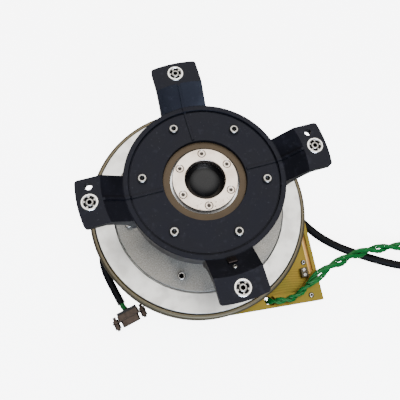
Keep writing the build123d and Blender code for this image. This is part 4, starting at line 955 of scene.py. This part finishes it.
# %% Index screw
ARM_PHASE = 6.8
SLOPE_RISE, SLOPE_RUN = 11.7, 13.8
SLOPE_LEAN = atan2(SLOPE_RISE, SLOPE_RUN)
index_angle = radians(ARM_PHASE + 270)
screw_low, screw_high = solids_in("index_screw")[0]
screw_middle = (screw_low + screw_high) / 2
lean = Vector((-sin(SLOPE_LEAN) * cos(index_angle), -sin(SLOPE_LEAN) * sin(index_angle), cos(SLOPE_LEAN)))
tilt = Vector((0, 0, 1)).rotation_difference(lean).to_matrix().to_4x4()
tilted = socket_screw(1.75, 1.5, 0.9, 0.6, 1.0, 1.9)
bmesh.ops.translate(tilted, vec=(0, 0, 0.1), verts=tilted.verts)
bmesh.ops.transform(tilted, matrix=Matrix.Translation(screw_middle) @ tilt, verts=tilted.verts)
piece_from(tilted, "index_lock_screw", "output", "plated_screw", ["index_screw"])

# %% [markdown]
# ## Plugs on the far ends
# The supply cable ends in a round moulded plug and the green rope in a flat housing for crimped contacts.
# Both are seen only from other sides, but they are what a fitter takes hold of, so they get their grip
# rings, pins and cavities.

# %% Round plug
plug_body_r = (plug_high.z - plug_low.z) / 2
NOSE = 9.0
plug_length = plug_high.x - plug_low.x


def round_plug():
    body = [(3.9, 0.0), (plug_body_r - 1.6, 0.0), (plug_body_r - 0.9, 0.7)]
    for grip in range(5):
        start = 2.6 + grip * 3.0
        body += [(plug_body_r - 0.9, start), (plug_body_r - 0.05, start + 0.6),
                 (plug_body_r - 0.05, start + 1.6), (plug_body_r - 0.9, start + 2.2)]
    back = plug_length - NOSE
    body += [(plug_body_r - 0.9, back - 4.0), (plug_body_r - 0.3, back - 3.2), (plug_body_r - 0.3, back),
             (5.6, back), (5.6, plug_length - 0.4), (5.2, plug_length), (4.6, plug_length),
             (4.6, plug_length - 6.0), (0.0, plug_length - 6.0)]
    shape = turned(body, 64, 0.15, closed=False)
    for pin in range(3):
        spin = radians(90 + 120 * pin)
        made = bmesh.ops.create_cone(shape, cap_ends=True, segments=16, radius1=0.75, radius2=0.6,
                                     depth=6.0)["verts"]
        bmesh.ops.translate(shape, vec=(2.3 * cos(spin), 2.3 * sin(spin), plug_length - 3.2), verts=made)
    lay_over = Matrix.Translation((plug_low.x, plug_y, plug_z)) @ Matrix.Rotation(pi / 2, 4, "Y")
    bmesh.ops.transform(shape, matrix=lay_over, verts=shape.verts)
    return shape


supply_plug = piece_from(round_plug(), "supply_plug", "field", "connector_black", ["power_connector"])


# %% Flat contact housing
def contact_housing():
    shape = bmesh.new()
    size = head_high - head_low
    middle = (head_high + head_low) / 2
    bmesh.ops.create_cube(shape, size=1.0)
    bmesh.ops.scale(shape, vec=size - Vector((0.1, 0.1, 0.1)), verts=shape.verts)
    front = [face for face in shape.faces if face.normal.x > 0.9]
    edges = [edge for edge in shape.edges if edge not in set(front[0].edges)]
    bmesh.ops.bevel(shape, geom=edges, offset=0.8, affect="EDGES", segments=3, profile=0.5, material=-1)
    front = [face for face in shape.faces if face.normal.x > 0.99]
    for axis, cuts in (((0, 1, 0), (-1.9, 1.9)), ((0, 0, 1), (0.0,))):
        for cut in cuts:
            near = front + [edge for face in front for edge in face.edges]
            near += [point for face in front for point in face.verts]
            bmesh.ops.bisect_plane(shape, geom=list(set(near)), plane_co=Vector(axis) * cut, plane_no=axis)
            front = [face for face in shape.faces if face.normal.x > 0.99]
    bmesh.ops.inset_individual(shape, faces=front, thickness=0.55, depth=0.0)
    sunk = bmesh.ops.extrude_discrete_faces(shape, faces=front)["faces"]
    bmesh.ops.translate(shape, vec=(-5.0, 0, 0), verts=list({point for face in sunk for point in face.verts}))
    latch = bmesh.ops.create_cube(shape, size=1.0)["verts"]
    bmesh.ops.scale(shape, vec=(11.0, 3.4, 0.9), verts=latch)
    bmesh.ops.translate(shape, vec=(2.0, 0, size.z / 2 - 0.55), verts=latch)
    bmesh.ops.translate(shape, vec=middle - Vector((0, 0, 0.05)), verts=shape.verts)
    return shape


lead_housing = piece_from(contact_housing(), "lead_housing", "field", "connector_black", ["lead_connector"])

# %% [markdown]
# ## Ties round the coils
# A coil that is put away is held by ties. Each is a thin strap round the turns: a circle squeezed to the
# shape of the bundle, pulled a few millimetres along the cable and given a wall.

# %% Ties
STRAP_WIDE = 3.6


def tie(name, centre, radius, angle, half_wide, half_high, strap=0.7):
    shape = bmesh.new()
    circle = bmesh.ops.create_circle(shape, radius=1.0, segments=40)["verts"]
    loop = list({edge for point in circle for edge in point.link_edges})
    pull(shape, loop, 1.0, STRAP_WIDE)
    for point in shape.verts:
        square = max(abs(point.co.x), abs(point.co.y)) ** 0.35
        point.co.x *= half_wide / square
        point.co.y *= half_high / square
    bmesh.ops.recalc_face_normals(shape, faces=shape.faces)
    bmesh.ops.solidify(shape, geom=shape.faces[:], thickness=-strap)
    bmesh.ops.recalc_face_normals(shape, faces=shape.faces)
    stand = Matrix.Rotation(radians(angle), 4, "Z")
    stand @= Matrix.Translation((radius, STRAP_WIDE / 2, half_high + strap))
    place = Matrix.Translation((*centre, 0)) @ stand @ Matrix.Rotation(pi / 2, 4, "X")
    bmesh.ops.transform(shape, matrix=place, verts=shape.verts)
    return piece_from(shape, name, "field", "grommet_rubber")


power_ties = [tie("supply_tie_" + str(index), POWER_COIL_AT, POWER_COIL_R, angle, POWER_D * 1.0, POWER_D * 0.9)
              for index, angle in enumerate((-150, -30))]
lead_ties = [tie("rope_tie_" + str(index), BUNDLE_COIL_AT, BUNDLE_COIL_R, angle,
                 BUNDLE_D * 0.98, BUNDLE_D * 0.5)
             for index, angle in enumerate((20, 150))]

# %% [markdown]
# ## The free cords' lengths
# The lengths of the four cords and the route points of the two green leads are worked out in metres. The
# sensor's cable and the supply cable leave the housing, and the two green leads follow on from each other.

length_of(power_path) * MM
length_of(sensor_path) * MM
length_of(pair_path) * MM
[point * MM for point in pair_path]
length_of(bundle_path) * MM
[point * MM for point in bundle_path]

# %% [markdown]
# ## The studio
# The clutch stands on a plain pale floor. The room's ceiling is bright in one soft patch almost overhead,
# so that the flat steel faces reflect it straight up and look bright. A cooler window on the near side
# lights the slopes that face it, and the rest of the room stays dim, which is why the slopes that face
# away are nearly black. The floor glows a little by itself, which keeps it even, and is hidden from
# reflections and bounced light, so that it does not light the clutch from below.

# %% Floor and world
floor_mesh = bpy.data.meshes.new("floor")
floor_shape = bmesh.new()
bmesh.ops.create_grid(floor_shape, x_segments=1, y_segments=1, size=3.0)
floor_shape.to_mesh(floor_mesh)
floor_shape.free()
paper = bpy.data.materials.new("paper")
paper.use_nodes = True
paper_look = {"Base Color": (0.93, 0.93, 0.93, 1.0), "Roughness": 0.9,
              "Emission Color": (1.0, 1.0, 1.0, 1.0), "Emission Strength": 6.0}
for socket_name, value in paper_look.items():
    paper.node_tree.nodes["Principled BSDF"].inputs[socket_name].default_value = value
floor_mesh.materials.append(paper)
floor = link(bpy.data.objects.new("floor", floor_mesh))
floor.location.z = -0.0003
floor.visible_glossy = False
floor.visible_diffuse = False

world = bpy.data.worlds.new("room")
bpy.context.scene.world = world
world.use_nodes = True
CEILING = Vector((0.10, 0.36, 0.93)).normalized()
ROOM_LIGHT = 0.14
CEILING_LIGHT = 3.2
TABLE_LIGHT = 0.5
CEILING_FULL, CEILING_EDGE = radians(24), radians(50)  # how far the bright patch reaches, and its fade
sky = Wiring(world.node_tree)
heading = sky.node("ShaderNodeTexCoord", {}, {}, "Generated")
facing = sky.node("ShaderNodeVectorMath", {"operation": "DOT_PRODUCT"}, {0: heading, 1: CEILING}, "Value")
glow = sky.spread(facing, cos(CEILING_EDGE), cos(CEILING_FULL), ROOM_LIGHT, CEILING_LIGHT)
below = sky.spread(sky.node("ShaderNodeSeparateXYZ", {}, {0: heading}, "Z"), -0.15, -0.45)
glow = glow + below * (TABLE_LIGHT - ROOM_LIGHT)
background = world.node_tree.nodes["Background"]
background.inputs["Color"].default_value = (1.0, 0.985, 0.96, 1.0)
sky.plug(background.inputs["Strength"], glow)


# %% Lamps
def lamp(name, place, target, width, height, watts, colour):
    data = bpy.data.lights.new(name, "AREA")
    data.shape = "RECTANGLE"
    data.size = width
    data.size_y = height
    data.energy = watts
    data.color = colour
    made = link(bpy.data.objects.new(name, data))
    made.location = place
    made.rotation_euler = (Vector(target) - Vector(place)).to_track_quat("-Z", "Y").to_euler()
    return made


lamp("window", (0.0, -1.00, 0.88), (0.0, 0.0, 0.08), 0.9, 0.5, 22.0, (0.66, 0.79, 1.0))
